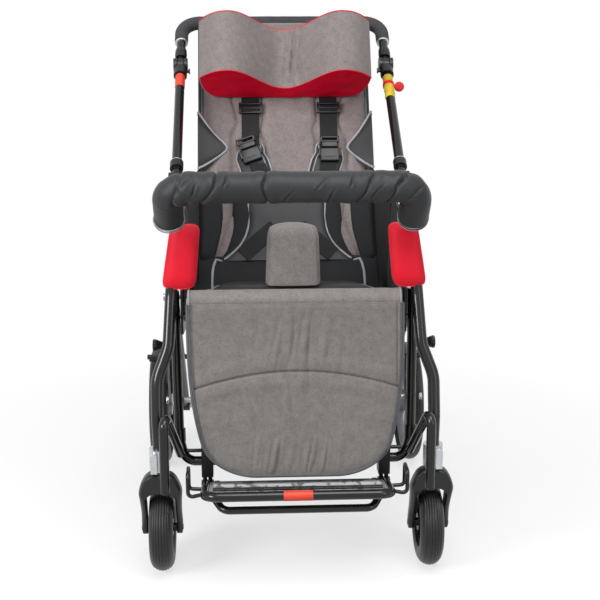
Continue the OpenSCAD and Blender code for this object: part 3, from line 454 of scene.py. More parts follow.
def rod(a, b, radius, bevel=0.0, sides=40, end_radius=None):
    """A cylinder or cone from a to b with its rims broken."""
    length = (b - a).length
    if end_radius is None:
        bpy.ops.mesh.primitive_cylinder_add(vertices=sides, radius=radius, depth=length)
    else:
        bpy.ops.mesh.primitive_cone_add(vertices=sides, radius1=radius, radius2=end_radius, depth=length)
    piece = bpy.context.object
    if bevel:
        break_edges(piece, bevel)
    turn = Vector((0, 0, 1)).rotation_difference(b - a).to_matrix().to_4x4()
    piece.data.transform(Matrix.Translation((a + b) / 2) @ turn)
    return piece


def break_edges(piece, width, segments=3):
    modified(piece, "BEVEL", width=width, segments=segments, limit_method="ANGLE",
             angle_limit=math.radians(35))


def block(size, bevel, place):
    """A box with broken edges, sized in millimetres, which place takes to the scene."""
    bpy.ops.mesh.primitive_cube_add(size=1)
    piece = bpy.context.object
    piece.data.transform(Matrix.Diagonal((*size, 1)))
    break_edges(piece, bevel)
    for vertex in piece.data.vertices:
        vertex.co = place(*vertex.co)
    return piece


def joined(pieces):
    bpy.ops.object.select_all(action="DESELECT")
    for piece in pieces:
        piece.select_set(True)
    bpy.context.view_layer.objects.active = pieces[0]
    bpy.ops.object.join()
    return pieces[0]


def turned(profile, centre, steps=96):
    """A ring spun about the X line through centre, from a closed profile of (across, radius)."""
    points = [(centre.x + a / 1000, centre.y, centre.z + r / 1000) for a, r in profile]
    piece = new_piece(points, [(i, (i + 1) % len(points)) for i in range(len(points))], [])
    bpy.ops.object.mode_set(mode="EDIT")
    bpy.ops.mesh.select_all(action="SELECT")
    bpy.ops.mesh.spin(steps=steps, angle=2 * math.pi, center=centre, axis=(1, 0, 0))
    bpy.ops.object.mode_set(mode="OBJECT")
    return welded(piece)


def skin(shape):
    """A shape made this way takes its settings in one call and its shares in the next."""
    return lambda *settings, **more: lambda *shares: shape(*settings, *shares, **more)


def sewn(name, body, grid, skins, material, replaced=(), angle=55):
    """A padded piece between two skins, divided as grid says."""
    return done(slab(*grid, *skins), name, body, material, replaced, angle)


def edging(name, body, line, radius, sides=10, material=PIPING):
    """Piping, binding or a stitch laid along a seam, with its radius in millimetres."""
    return done(tube(line, radius / 1000, sides=sides), name, body, material)


# Headrest
HEAD_PEAK, HEAD_MIDDLE, HEAD_WING, HEAD_END = 133, 74, 171, 130
HEAD_HALF, HEAD_V, HEAD_RISE, HEAD_CUTS = 201, 512, 75.5, 30


def head_depth(u):
    a = abs(u)
    if a < HEAD_PEAK:
        return mix(HEAD_MIDDLE, HEAD_WING, (1 - math.cos(math.pi * a / HEAD_PEAK)) / 2)
    return mix(HEAD_WING, HEAD_END, ((a - HEAD_PEAK) / (200 - HEAD_PEAK)) ** 2.2)


def head_place(s, t, d):
    share = (d + 1) / 2
    u = HEAD_HALF * s
    side = mix(0.79, 1, math.sqrt(max(0, 1 - (1 - share) ** 2)))
    w = mix(26, head_depth(u) - 2 - 3 * abs(t) ** 6, share * (1 - 0.04 * abs(s) ** 10))
    low = 4 * (1 - share) * (1 if t < 0 else 0)
    v = HEAD_V + HEAD_RISE * t * (1 - 0.03 * abs(s) ** 10) - low
    return on_back(u * mix(1, side, abs(s)), v, w)


head, head_grid = moulded(HEAD_CUTS, head_place)
head_faces = []
for face in head.data.polygons:
    kind = sum((Vector(head_grid[i]) for i in face.vertices), Vector()) / len(face.vertices)
    head_faces.append(0 if abs(kind.y) < 0.999 else 1)
swell(head, 3.0, 8, seams_of(head_grid))
paint(head, SUEDE, RED_HEAD_LIT)
for face, kind in zip(head.data.polygons, head_faces):
    face.material_index = kind
subdivide(head, 2)
back_away = on_back(0, 0, 1) - on_back(0, 0, 0)
back_up = on_back(0, 1, 0) - on_back(0, 0, 0)
back_low = on_back(0, 0, 0)
for vertex in head.data.vertices:
    rise = (vertex.co - back_low).dot(back_up) * 1000000
    deep = (vertex.co - back_low).dot(back_away) * 1000000
    u, t = vertex.co.x * 1000, (rise - HEAD_V) / HEAD_RISE
    if deep > head_depth(u) - 14 and abs(t) < 1.05:
        bend = 4 * math.sin(t * 2.2)
        seam = 8 * hump(u, 19 + bend, 3.6) + 7 * hump(u, 35 + bend, 3.4) + 4 * hump(u, 4 + bend, 4)
        seam -= 3 * hump(u, 27 + bend, 5) + 2.5 * hump(u, 11 + bend, 4)
        dent = 1.6 * ripple(u / 60, t * 1.3, 5)
        dent += 1.1 * ripple(u / 16, t * 0.8, 3) * hump(u, 10, 70)
        vertex.co += back_away * (dent - seam * (1 - 0.5 * t * t) * ease((1.02 - abs(t)) / 0.2))
    elif t < -0.85:
        pleat = ripple(u / 3.2, 1, 2) * hump(u, -16, 26)
        pleat += 0.5 * ripple(u / 30, 4, deep / 30)
        vertex.co += back_up * 2.4 * pleat * ease((-0.9 - t) / 0.08)
done(head, "headrest_pillow", "headrest", (SUEDE, RED_HEAD_LIT), ["headrest"], angle=60)
for edge, t in (("low", -1), ("high", 1)):
    line = [head_place(-1 + k / 30, t, 1) for k in range(61)]
    edging("headrest_piping_" + edge, "headrest", line, 1.2, 8, RED)


# Back pad
PAD_HALF, PAD_LOW, PAD_LENGTH = 197, 26, 616
SHELL_HALF, SHELL_LOW, SHELL_LENGTH = 207.5, 21, 628
BACK_SEAMS = (
    [(-130, 450), (-112, 372), (-128, 336), (-128, 245), (-134, 137), (-166, 40)],
    [(142, 450), (124, 372), (142, 330), (146, 240), (133, 137), (166, 40)],
    [(-54, 450), (-54, 380), (-62, 350), (-50, 320), (-46, 240)],
    [(74, 450), (77, 380), (67, 353), (73, 320), (70, 240)],
)


def distance_to(u, v, line):
    best = 1e9
    for (a, b), (c, d) in zip(line, line[1:]):
        run, rise = c - a, d - b
        t = min(1, max(0, ((u - a) * run + (v - b) * rise) / (run * run + rise * rise)))
        best = min(best, math.hypot(u - a - run * t, v - b - rise * t))
    return best


def back_front(s, t):
    u, v = (2 * s - 1) * PAD_HALF, PAD_LOW + PAD_LENGTH * t
    edge = (1 - abs(2 * s - 1) ** 12) * (1 - abs(2 * t - 1) ** 30)
    w = mix(2, 21, edge)
    for line in BACK_SEAMS:
        reach = distance_to(u, v, line)
        if reach < 14:
            w -= 6.5 * hump(reach, 0, 3.4)
        if reach < 44:
            w += 2.4 * hump(reach, 17, 10) * edge
    w += (1.5 * ripple(u / 45, v / 90, 2) + 0.9 * ripple(u / 17, v / 30, 6)) * edge
    return on_back(u, v, w)


def back_rear(s, t):
    return on_back((2 * s - 1) * PAD_HALF, PAD_LOW + PAD_LENGTH * t, -19.7)


sewn("back_pad", "backrest", (130, 190), (back_front, back_rear), SUEDE, ["back_cushion"],
     50)


def shell_front(s, t):
    edge = (1 - abs(2 * s - 1) ** 30) * (1 - abs(2 * t - 1) ** 60)
    return on_back((2 * s - 1) * SHELL_HALF, SHELL_LOW + SHELL_LENGTH * t, mix(-12, 5, edge))


def shell_rear(s, t):
    w = -20.2 - 1.2 * (1 - abs(2 * s - 1) ** 4) * (1 - abs(2 * t - 1) ** 4)
    return on_back((2 * s - 1) * SHELL_HALF, SHELL_LOW + SHELL_LENGTH * t, w)


sewn("back_cover_rear", "backrest", (90, 120), (shell_front, shell_rear), NYLON_DARK, angle=40)
for name, side in SIDES:
    rim = [on_back(side * (PAD_HALF + 0.5), v, 6.5) for v in (PAD_LOW, 230, 440, PAD_LOW + PAD_LENGTH)]
    edging("back_binding_" + name, "backrest", rim, 2.4, material=BINDING)


# Side flaps of the back, dark with light piping, from the outer edge in to the tip
FLAP_OUTER, FLAP_TIP = 207, {-1: 138, 1: 147}
FLAP_TOP, FLAP_LOW = (393, 309), (247, 300)


@skin
def flap_front(side, lift, s, t):
    curve = 10 * math.sin(math.pi * s)
    u = mix(FLAP_OUTER, FLAP_TIP[side], s)
    top, low = mix(*FLAP_TOP, s) - curve * 0.6, mix(*FLAP_LOW, s) - curve * 0.2
    v = mix(low, top, t)
    bulge = (1 - (2 * t - 1) ** 6) * (1 - s ** 5)
    lift_here = 2 + 6 * bulge + 15 * (1 - s) ** 2 * (1 - 0.3 * t)
    return on_back(side * u, v, 21 + lift * lift_here)


for name, side in SIDES:
    sewn("back_flap_" + name, "backrest", (24, 28), (flap_front(side, 1), flap_front(side, 0)), NYLON)
    edge = [flap_front(side, 1)(k / 16, 1) for k in range(16)] + [flap_front(side, 1)(1, 0.5)]
    edge += [flap_front(side, 1)(1 - k / 16, 0) for k in range(1, 17)]
    edging("back_flap_piping_" + name, "backrest", edge, 3.0)
    inner = [p + Vector((side * 0.0058, 0, 0)) + back_away * 0.8 for p in edge[1:-1]]
    edging("back_flap_stitch_" + name, "backrest", inner, 1.2, 8)


# Vest, webbing, adjusters and buckles. The tables give half widths by height.
VEST_LOW, VEST_LENGTH, ARM_LOW, ARM_LENGTH = 24, 184, 188, 128
VEST_HALF = ((20, 161), (34, 142), (48, 125), (62, 112), (76, 103), (90, 97), (104, 93), (118, 91), (134, 90),
             (150, 91), (164, 92), (182, 95), (200, 99), (215, 106))
WING_HALF = ((22, 160), (52, 140), (90, 131), (137, 128), (200, 124), (215, 120))


def by_table(table, x):
    """The value at x, on straight lines between the rows of a table."""
    if x <= table[0][0]:
        return table[0][1]
    for (a, p), (b, q) in zip(table, table[1:]):
        if x <= b:
            return mix(p, q, (x - a) / (b - a))
    return table[-1][1]


def pad_surface(u):
    return 22 * (1 - abs(u / 205) ** 9) - 2


@skin
def torso(lift, s, t, table=VEST_HALF, plump=8.5):
    v = VEST_LOW + VEST_LENGTH * t
    half = by_table(table, v)
    a = abs(2 * s - 1)
    top = 12 * (1 - min(1, a / 0.55)) ** 1.5 * (1 if table is VEST_HALF else 0)
    thick = plump * (1 - a ** 14) * (1 - max(0, 2 * t - 1) ** 20) + 0.8
    fold = 1.8 * ripple(s * 5, t * 4, 7) * lift
    return on_back((2 * s - 1) * half, v - top * t, pad_surface((2 * s - 1) * half) + 1.5
                   + lift * (thick + fold * (1 - a ** 6)))


ARM_MIDDLE = ((188, 74), (215, 78), (244, 80), (273, 89), (292, 93), (306, 84), (316, 72))
ARM_HALF = ((188, 42), (215, 40), (244, 38), (273, 39), (292, 32), (306, 24), (316, 14))


@skin
def arm_at(side, lift, s, t):
    v = ARM_LOW + ARM_LENGTH * t
    m, half = by_table(ARM_MIDDLE, v), by_table(ARM_HALF, v)
    a = abs(2 * s - 1)
    u = 10 + side * (m + (2 * s - 1) * half * math.sqrt(max(0.02, 1 - max(0, (t - 0.86) / 0.14) ** 2)))
    thick = 9 * (1 - a ** 10) * (1 - t ** 20) + 0.8
    return on_back(u, v, pad_surface(u) + 1.5 + lift * thick)


sewn("vest_body", "backrest", (60, 48), (torso(1), torso(0)), NYLON, ["harness"])
WINGS = {"table": WING_HALF, "plump": 4}
sewn("vest_wings", "backrest", (60, 48), (torso(1, **WINGS), torso(0, **WINGS)), NYLON_DARK)
for name, side in SIDES:
    sewn("vest_arm_" + name, "backrest", (18, 30), (arm_at(side, 1), arm_at(side, 0)), NYLON)
    inner = [arm_at(side, 0.9)(0.02, k / 24) for k in range(25)]
    second = [arm_at(side, 1)(0.15, k / 24) for k in range(24)]
    outer = [arm_at(side, 0.8)(0.98, 1 - k / 20) for k in range(21)]
    hip = [torso(0.9)(0.5 + side * 0.49, 1 - k / 20) for k in range(21)]
    edging("vest_piping_inner_" + name, "backrest", inner, 2.6)
    edging("vest_piping_second_" + name, "backrest", second, 1.4, 8)
    edging("vest_piping_outer_" + name, "backrest", outer, 2.2)
    edging("vest_piping_hip_" + name, "backrest", hip, 3.0)


# Charcoal bolsters down the lower sides of the back
BOLSTER_LOW, BOLSTER_LENGTH, BOLSTER_OUTER = 24, 216, 207
BOLSTER_INNER = ((24, 172), (52, 164), (100, 153), (137, 149), (240, 149))


@skin
def bolster(side, lift, s, t):
    v = BOLSTER_LOW + BOLSTER_LENGTH * t
    u = mix(by_table(BOLSTER_INNER, v), BOLSTER_OUTER, s)
    rise = (3 + 15 * s ** 1.5) * (1 - (2 * s - 1) ** 12) * (1 - abs(2 * t - 1) ** 16) + 0.6
    rise += 0.8 * ripple(s * 3, t * 7, side)
    return on_back(side * u, v, mix(21, 6, s ** 6) + lift * rise)


for name, side in SIDES:
    sewn("back_bolster_" + name, "backrest", (20, 50), (bolster(side, 1), bolster(side, 0)), NYLON_DARK)


def strap(route, half, name, tilt=0.0):
    """A flat webbing band along a route of (u, v, w) on the back."""
    def band(lift):
        def place(s, t):
            k = min(len(route) - 2, int(t * (len(route) - 1)))
            share = t * (len(route) - 1) - k
            u, v, w = (mix(route[k][i], route[k + 1][i], share) for i in range(3))
            return on_back(u + (2 * s - 1) * half, v + (2 * s - 1) * half * tilt, w + lift)
        return place
    done(slab(10, 12 * (len(route) - 1), band(1.5), band(0)), name, "backrest", WEBBING)


# Plastic parts of the harness, as boxes: size, broken edge, and shift across and up
ADJUSTER = [((54, 5, 6), 1.2, 0, y) for y in (-11, 0, 11)] + [((5, 27, 6), 1.2, x, 0) for x in (-25, 25)]
RELEASE_BUCKLE = [((46, 34, 11), 3, 0, -14), ((38, 14, 8), 2, 0, 12), ((46, 5, 7), 1.5, 0, 30),
                  ((46, 5, 7), 1.5, 0, 20), ((6, 16, 7), 1.5, 20, 25), ((6, 16, 7), 1.5, -20, 25),
                  ((5, 20, 9), 1.5, 24, -8), ((5, 20, 9), 1.5, -24, -8), ((24, 2, 13), 0.6, 0, -20)]


def harness_part(boxes, name, u0, v0, w0, turn=0.0):
    c, s = math.cos(turn), math.sin(turn)
    made = []
    for size, edge, right, up in boxes:
        def place(x, y, z):
            x, y = x + right, y + up
            return on_back(u0 + x * c - y * s, v0 + x * s + y * c, w0 + z)
        made.append(block(size, edge, place))
    done(joined(made), name, "backrest", BUCKLE)


for name, side in SIDES:
    line = [(side * 28, 104, 32), (side * 66, 72, 33), (side * 104, 36, 31)]
    strap(line, 12, "hip_strap_" + name, 1.2 * side)
for name, side, u0, turn in (("left", -1, -82, 0.36), ("right", 1, 104, 0.0)):
    strap([(u0, 446, 22), (u0, 420, 25), (u0, 404, 31), (u0, 388, 25), (u0, 330, 24)], 21,
          "shoulder_strap_" + name)
    strap([(u0, 334, 27), (u0, 318, 28), (u0, 300, 32)], 20, "shoulder_strap_lower_" + name)
    shifts = (14, 22, 24) if side < 0 else (-4, -6, -8)
    strap([(u0 + shift, v, w) for shift, v, w in zip(shifts, (262, 240, 212), (34, 36, 35))], 19,
          "vest_strap_" + name)
    harness_part(ADJUSTER, "strap_adjuster_" + name, u0, 403, 31)
    harness_part(RELEASE_BUCKLE, "release_buckle_" + name, u0 - (4 if side < 0 else 0), 294, 38, turn)


# Seat cushion, roll and calf panel
SEAT_HALF, SEAT_LENGTH = 217, 316


def seat_front(s, t):
    a, b = abs(2 * s - 1), abs(2 * t - 1)
    puff = (1 - a ** 8) * (1 - b ** 12)
    z = 16 + mix(16, 38, puff) + 1.2 * ripple(s * 6, t * 5, 1) * puff
    return on_seat((2 * s - 1) * SEAT_HALF * (1 - 0.01 * (1 - b ** 4)), -2 + SEAT_LENGTH * t, z)


def seat_base(s, t):
    return on_seat((2 * s - 1) * SEAT_HALF, -2 + SEAT_LENGTH * t, 15.8)


sewn("seat_pad", "chassis", (70, 60), (seat_front, seat_base), SUEDE_SHADED, ["seat_cushion"],
     50)

ROLL_RINGS, ROLL_SIDES = 120, 40
ROLL_HALF, ROLL_Y, ROLL_Z = 218.5, -23.35, 37.4
roll_rings = []
for k in range(ROLL_RINGS + 1):
    share = 2 * k / ROLL_RINGS - 1
    flare = 1.2 * ease((abs(share) - 0.93) / 0.05)
    size = (20.8 + flare) * (1 - 0.2 * abs(share) ** 90) + 0.7 * ripple(share * 7, 3, 4)
    ring = []
    for j in range(ROLL_SIDES):
        g = 2 * math.pi * j / ROLL_SIDES
        ring.append(on_seat(share * ROLL_HALF, ROLL_Y + size * math.cos(g), ROLL_Z + size * math.sin(g)))
    roll_rings.append(ring)
done(lofted(roll_rings), "seat_roll_pad", "chassis", SUEDE_LIT, ["seat_roll"],
     angle=50)

CALF_TILT, CALF_TOP, CALF_LENGTH = math.radians(13.2), (8, 577), 348
CALF_HALF, CALF_TAPER = 217.5, 0.235


def calf_at(x, down, out):
    return at(x, CALF_TOP[0] - down * math.sin(CALF_TILT) + 8 - out * math.cos(CALF_TILT),
              CALF_TOP[1] - down * math.cos(CALF_TILT) + out * math.sin(CALF_TILT))


def calf_half(t):
    corner = 0.48 + 0.52 * math.sqrt(1 - min(1, max(0, (t - 0.8) / 0.2)) ** 2.4)
    return CALF_HALF * (1 - CALF_TAPER * t ** 3) * corner


def calf_seam(x):
    return 137 + 35 * (x / 208) ** 2


def fold(x, y, seed):
    """Soft upright folds: rounded ridges with sharper valleys between them."""
    value = ripple(x, y, seed)
    return 2.2 * abs(value) * (1 if value > 0 else 0.5) - 0.4


def calf_front(s, t):
    x, down = (2 * s - 1) * calf_half(t), CALF_LENGTH * t
    a = abs(2 * s - 1)
    edge = (1 - a ** 16) * (1 - t ** 30) * (1 - 0.8 * hump(down, 0, 5))
    out = mix(3, 8, edge)
    off = down - calf_seam(x)
    out -= 5.0 * hump(off, 0, 2.4)
    out += 2.0 * hump(abs(off), 20, 13) * edge
    side_seam = abs(x) - (207 - 3 * t)
    if off < 0:
        out -= 3.4 * hump(side_seam, 0, 2.2) * ease(-off / 12)
    slow = down / 130
    out += 1.5 * ripple(x / 40, slow, 3) * edge
    top = fold(x / 22 + down / 150, slow, 12) * hump(x, 8, 62) * hump(down, 78, 62)
    middle = fold(x / 22 - down / 62, slow, 17) * hump(x, -30, 84) * hump(down, 205, 48)
    low = fold(x / 13 + down / 110, slow, 21) * hump(x, -4, 84) * ease((down - 258) / 50)
    out += (8.5 * top + 6 * middle + 7 * low) * edge
    return calf_at(x, down, out)


def calf_rear(s, t):
    return calf_at((2 * s - 1) * calf_half(t), CALF_LENGTH * t, -7)


sewn("calf_panel_pad", "chassis", (220, 160), (calf_front, calf_rear), SUEDE_SHADED, ["calf_panel"],
     50)
shares = [1 - (1 - k / 80) ** 2 for k in range(81)]
outline = [calf_at(calf_half(share), CALF_LENGTH * share, 3) for share in shares]
outline += [calf_at(calf_half(1) * (1 - k / 10), CALF_LENGTH, 3) for k in range(1, 11)]
outline += [Vector((-p.x, p.y, p.z)) for p in reversed(outline[:-1])]
edging("calf_binding", "chassis", outline, 3.6, 12, BINDING)
for name, side in SIDES:
    loop = [calf_at(side * (calf_half(k / 40) - 3.5), CALF_LENGTH * k / 40, 7) for k in range(37)]
    edging("calf_side_stitch_" + name, "chassis", loop, 1.5, 8, BINDING)
    turns = [g / 16 * math.pi for g in range(4, 37)]
    ring = [on_seat(side * 215, ROLL_Y + 22 * math.cos(g), ROLL_Z + 22 * math.sin(g)) for g in turns]
    edging("roll_piping_" + name, "chassis", ring, 2.2)


# Lower flap of the vest, lying on the seat
SEAT_FLAP_FRONT, SEAT_FLAP_LENGTH, SEAT_FLAP_HALF = 30, 302, (176, 158)


@skin
def seat_flap(lift, s, t):
    y = SEAT_FLAP_FRONT + SEAT_FLAP_LENGTH * t
    half = mix(*SEAT_FLAP_HALF, t ** 2)
    a = abs(2 * s - 1)
    rise = 8 * (1 - a ** 12) * (1 - abs(2 * t - 1) ** 20) + 0.6
    x = (2 * s - 1) * half
    base = seat_front(0.5 + x / 2 / SEAT_HALF, (y + 2) / SEAT_LENGTH if y < 300 else 0.93)
    up = on_seat(0, 0, 1) - on_seat(0, 0, 0)
    return base + up * (0.6 + lift * rise) + on_seat(x, y, 0) - on_seat(x, min(y, 292), 0)


sewn("vest_seat_flap", "chassis", (50, 40), (seat_flap(1), seat_flap(0)), NYLON)
for name, side in SIDES:
    line = [seat_flap(0.9)(0.5 + side * 0.49, k / 20) for k in range(21)]
    edging("seat_flap_piping_" + name, "chassis", line, 2.4)


# Pommel
def pommel_place(s, t, d):
    top = max(0, (t - 0.35) / 0.65)
    half = mix(57.5, 53, (t + 1) / 2) * (1 - 0.1 * top ** 3) * (1 - 0.02 * abs(d) ** 6)
    x = half * s * math.sqrt(1 - 0.22 * d * d * s * s)
    y = 128 + 33 * d * math.sqrt(1 - 0.3 * s * s) * (1 - 0.2 * top ** 4)
    z = 656 + 63.5 * t * (1 - (0.12 * abs(s) ** 2.5 + 0.05 * d * d) * (1 if t > 0 else 0))
    return at(x, y, z)


pommel, pommel_grid = moulded(26, pommel_place)
swell(pommel, 2.5, 5, seams_of(pommel_grid))
subdivide(pommel)
done(pommel, "pommel_cover", "pommel", SUEDE_LIT, ["pommel_pad"], angle=60)


# Routes and sleeves
def evenly(route, count):
    """Points spaced evenly along a route, one more than count."""
    lengths = [0]
    for a, b in zip(route, route[1:]):
        lengths.append(lengths[-1] + (b - a).length)
    points = []
    for i in range(count + 1):
        goal = lengths[-1] * i / count
        k = max(0, min(len(route) - 2, bisect.bisect_right(lengths, goal) - 1))
        share = (goal - lengths[k]) / max(1e-9, lengths[k + 1] - lengths[k])
        points.append(route[k].lerp(route[k + 1], share))
    return points


def sleeve(points, normal, radius_at, sides=48):
    """A skin round a flat route square to normal; radius_at gives its radius in millimetres."""
    rings = []
    last = len(points) - 1
    for i, point in enumerate(points):
        along = (points[min(i + 1, last)] - points[max(i - 1, 0)]).normalized()
        across = along.cross(normal).normalized()
        ring = []
        for k in range(sides):
            turn = 2 * math.pi * k / sides
            away = across * math.cos(turn) + normal * math.sin(turn)
            ring.append(point + away * radius_at(i / last, turn, point, away) / 1000)
        rings.append(ring)
    return lofted(rings)


def both_ways(points):
    return points + [(-x, y, z) for x, y, z in reversed(points)]


def pipe(name, body, points, radius, bend=0, side=1, replaced=(), material=GLOSS):
    route = [at(side * x, y, z) for x, y, z in points]
    return done(tube(route, radius / 1000, bend / 1000, 32), name, body, material, replaced)


# Charcoal cloth from the back down to the seat, and from the back's sides to the side panels
SKIRT_HALF = 206


@skin
def skirt(lift, s, t):
    x = (2 * s - 1) * SKIRT_HALF
    top, low = on_back(x, 36, 8 + lift * 9), on_seat(x, 286, 36)
    puff = lift * (1 - abs(2 * s - 1) ** 10) * math.sin(math.pi * min(1, max(0, t))) * 6
    return top.lerp(low, t) + back_away * (puff + lift * 6)


def bridged(piece, name, material, start, end):
    """Cloth that runs from the back at one end to the seat's frame at the other: named, painted and smoothed,
    with its transform applied.
    """
    piece.name = piece.data.name = name
    paint(piece, material)
    smooth(piece, 55)
    tuple(start)
    tuple(end)
    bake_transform(piece)


SKIRT_ENDS = on_back(0, 32, 14), on_seat(0, 284, 38)
bridged(slab(60, 16, skirt(1), skirt(0)), "back_skirt", NYLON_DARK, *SKIRT_ENDS)
for name, side in SIDES:
    line = [torso(0.9)(0.5 + side * 0.49, 0) + back_away * 2]
    line += [skirt(1)(0.5 + side * x / 2 / SKIRT_HALF, t) + back_away * 2.5
             for x, t in ((166, 0.1), (171, 0.25), (174, 0.45), (175, 0.7), (175, 0.98))]
    bridged(tube(evenly(line, 20), 0.003, sides=10), "hip_piping_" + name, PIPING, *SKIRT_ENDS)


@skin
def gusset(side, lift, s, t):
    if t < 0.2:
        near = on_seat(side * SKIRT_HALF, 284, 36).lerp(on_back(side * SKIRT_HALF, 28, 12), t / 0.2)
    else:
        near = on_back(side * SKIRT_HALF, mix(28, 256, (t - 0.2) / 0.8), 12)
    far = at(side * mix(226, 225, t), mix(350, 286, t), mix(512, 750, t))
    hang = ripple(s * 2, t * 4, side) * 3 * math.sin(math.pi * s)
    return near.lerp(far, s) + Vector((side * (lift * 3 - 1.5 + hang), 0, 0)) / 1000


for name, side in SIDES:
    bridged(slab(14, 30, gusset(side, 1), gusset(side, 0)), "side_gusset_" + name, NYLON_DARK,
            on_back(0, 130, 0), at(0, 330, 650))


# Front bar: padded cover with slanting seams, and the bent tube in it
BAR_CORNER, BAR_END = (-60, 827), (7, 747)
BAR_SIDES = {"left": -248, "right": 232}
BAR_RADIUS, BAR_LENGTH = 31, 700
# Each seam has its x at the low and at the high side; a crease also has the shares of height it runs between
BAR_SEAMS = ((-183, -149), (-240, -212), (-61, -61), (107, 152), (164, 210))
BAR_CREASES = ((-214, -176, 0.2, 0.75), (-226, -200, 0.5, 1.0), (-164, -128, 0.55, 1.0), (-30, 22, 0.05, 0.5),
               (20, 58, 0.4, 0.95), (52, 96, 0.0, 0.55), (84, 112, 0.5, 1.0), (128, 184, 0.1, 0.7),
               (178, 196, 0.45, 1.0), (196, 232, 0.15, 0.8))


def bar_radius(share, turn, point, away):
    x = point.x * 1000
    end = min(share, 1 - share) * BAR_LENGTH
    radius = BAR_RADIUS * math.sqrt(max(0.02, 1 - max(0, (9 - end) / 9) ** 2)) - 0.8
    height = (away.z + 1) / 2
    if end > 70:
        for low, high in BAR_SEAMS:
            off = x - mix(low, high, height) - 5 * math.sin(5 * height + low)
            radius += 1.6 * hump(abs(off), 13, 9) - 4.2 * hump(off, 0, 2.2)
        for low, high, first, last in BAR_CREASES:
            off = x - mix(low, high, height) - 3 * math.sin(7 * height + high)
            there = ease((height - first) / 0.15) * ease((last - height) / 0.15)
            radius += (1.2 * hump(abs(off), 5, 3.5) - 2.6 * hump(off, 0, 1.7)) * there
    slant = x + 26 * height + 8
    folds = ripple(slant / 17, height * 1.1, 4)
    folds += 0.5 * ripple(slant / 9, height, 9)
    near = hump(abs(x), 240, 42) + 0.3 * hump(x, 130, 50) + 0.22 * hump(x, 20, 60)
    return radius + 3.4 * folds * near + 1.0 * ripple(x / 60, turn, 2)


bar_route = rounded([at(BAR_SIDES["left"], *BAR_END), at(BAR_SIDES["left"], *BAR_CORNER),
                     at(BAR_SIDES["right"], *BAR_CORNER), at(BAR_SIDES["right"], *BAR_END)], 0.045, 12)
bar_normal = (at(0, *BAR_END) - at(0, *BAR_CORNER)).cross(Vector((1, 0, 0))).normalized()
done(sleeve(evenly(bar_route, 420), bar_normal, bar_radius, 64), "bumper_cover_padded", "bumper",
     NYLON, ["bumper_cover"], angle=60)
for name, side in SIDES:
    end = at(BAR_SIDES[name], *BAR_END)
    way = (at(BAR_SIDES[name], *BAR_CORNER) - end).normalized()
    for which, step, size in (("end", 5, 29.5), ("ring", 12, 30.4)):
        hoop = []
        for turn in [2 * math.pi * k / 48 for k in range(49)]:
            away = Vector((1, 0, 0)) * math.cos(turn) + bar_normal * math.sin(turn)
            hoop.append(end + way * step / 1000 + away * size / 1000)
        edging("bumper_piping_" + which + "_" + name, "bumper", hoop, 1.4, 8)
bar_line = both_ways([(ARMREST_X, 45.7, ARMREST_Z), (ARMREST_X, 6, ARMREST_Z), (238, *BAR_CORNER)])
pipe("bumper_bar", "bumper", bar_line, 11, 45, replaced=["bumper_tube"])
for name, side in SIDES:
    spigot = rod(at(side * ARMREST_X, 44, ARMREST_Z), at(side * ARMREST_X, 84, ARMREST_Z), 0.008, 0.001)
    done(spigot, "bumper_spigot_" + name, "bumper", STEEL)


# Red pads and dark side panels between the armrests and the seat
@skin
def side_pad_place(side, s, t, d):
    x, y, z = (mix(a, b, (t + 1) / 2) for a, b in ((235, 220), (50, 64), (604, 731)))
    half = mix(34.5, 30, (t + 1) / 2) * (1 - 0.1 * abs(t) ** 10)
    z -= 5 * t * abs(t) ** 5 * abs(s) ** 5
    deep = 22 * (1 - 0.55 * abs(s) ** 4) * (1 - 0.5 * abs(t) ** 5)
    return at(side * (x + half * s), y + deep * d, z + 1.5 * s * s * (1 if t < 0 else 0))


for name, side in SIDES:
    pad, grid = moulded(20, side_pad_place(side))
    swell(pad, 3.0, 7, seams_of(grid))
    subdivide(pad)
    done(pad, "side_pad_" + name, "chassis", RED, ["side_pads"], angle=60)
    seam = [side_pad_place(side)(-1 + k / 10, -1, -1) for k in range(21)]
    edging("side_pad_seam_" + name, "chassis", seam, 1.1, 8, RED)


@skin
def panel_skin(side, layer, s, t):
    front = mix(92, 96, t)
    rear = 356 if t < 0.2 else mix(356, 290, (t - 0.2) / 0.8)
    puff = (1 - abs(2 * s - 1) ** 8) * (1 - abs(2 * t - 1) ** 8)
    wave = 0.8 * ripple(s * 5, t * 5, side + 4) * puff
    x = (230.2, mix(227, 222.6, puff) + wave)[layer]
    low, high = 562 - 50 * s, mix(736, 750, s)
    return at(side * x, mix(front, rear, s), mix(low, high, t))


for name, side in SIDES:
    sewn("side_panel_" + name, "chassis", (44, 34), (panel_skin(side, 0), panel_skin(side, 1)), NYLON_DARK,
         ["side_panels"])
    edge = [panel_skin(side, 1)(0.01, k / 12) for k in range(13)]
    edge += [panel_skin(side, 1)(k / 24, 1) for k in range(1, 25)]
    edging("side_panel_binding_" + name, "chassis", edge, 2.4, material=BINDING)


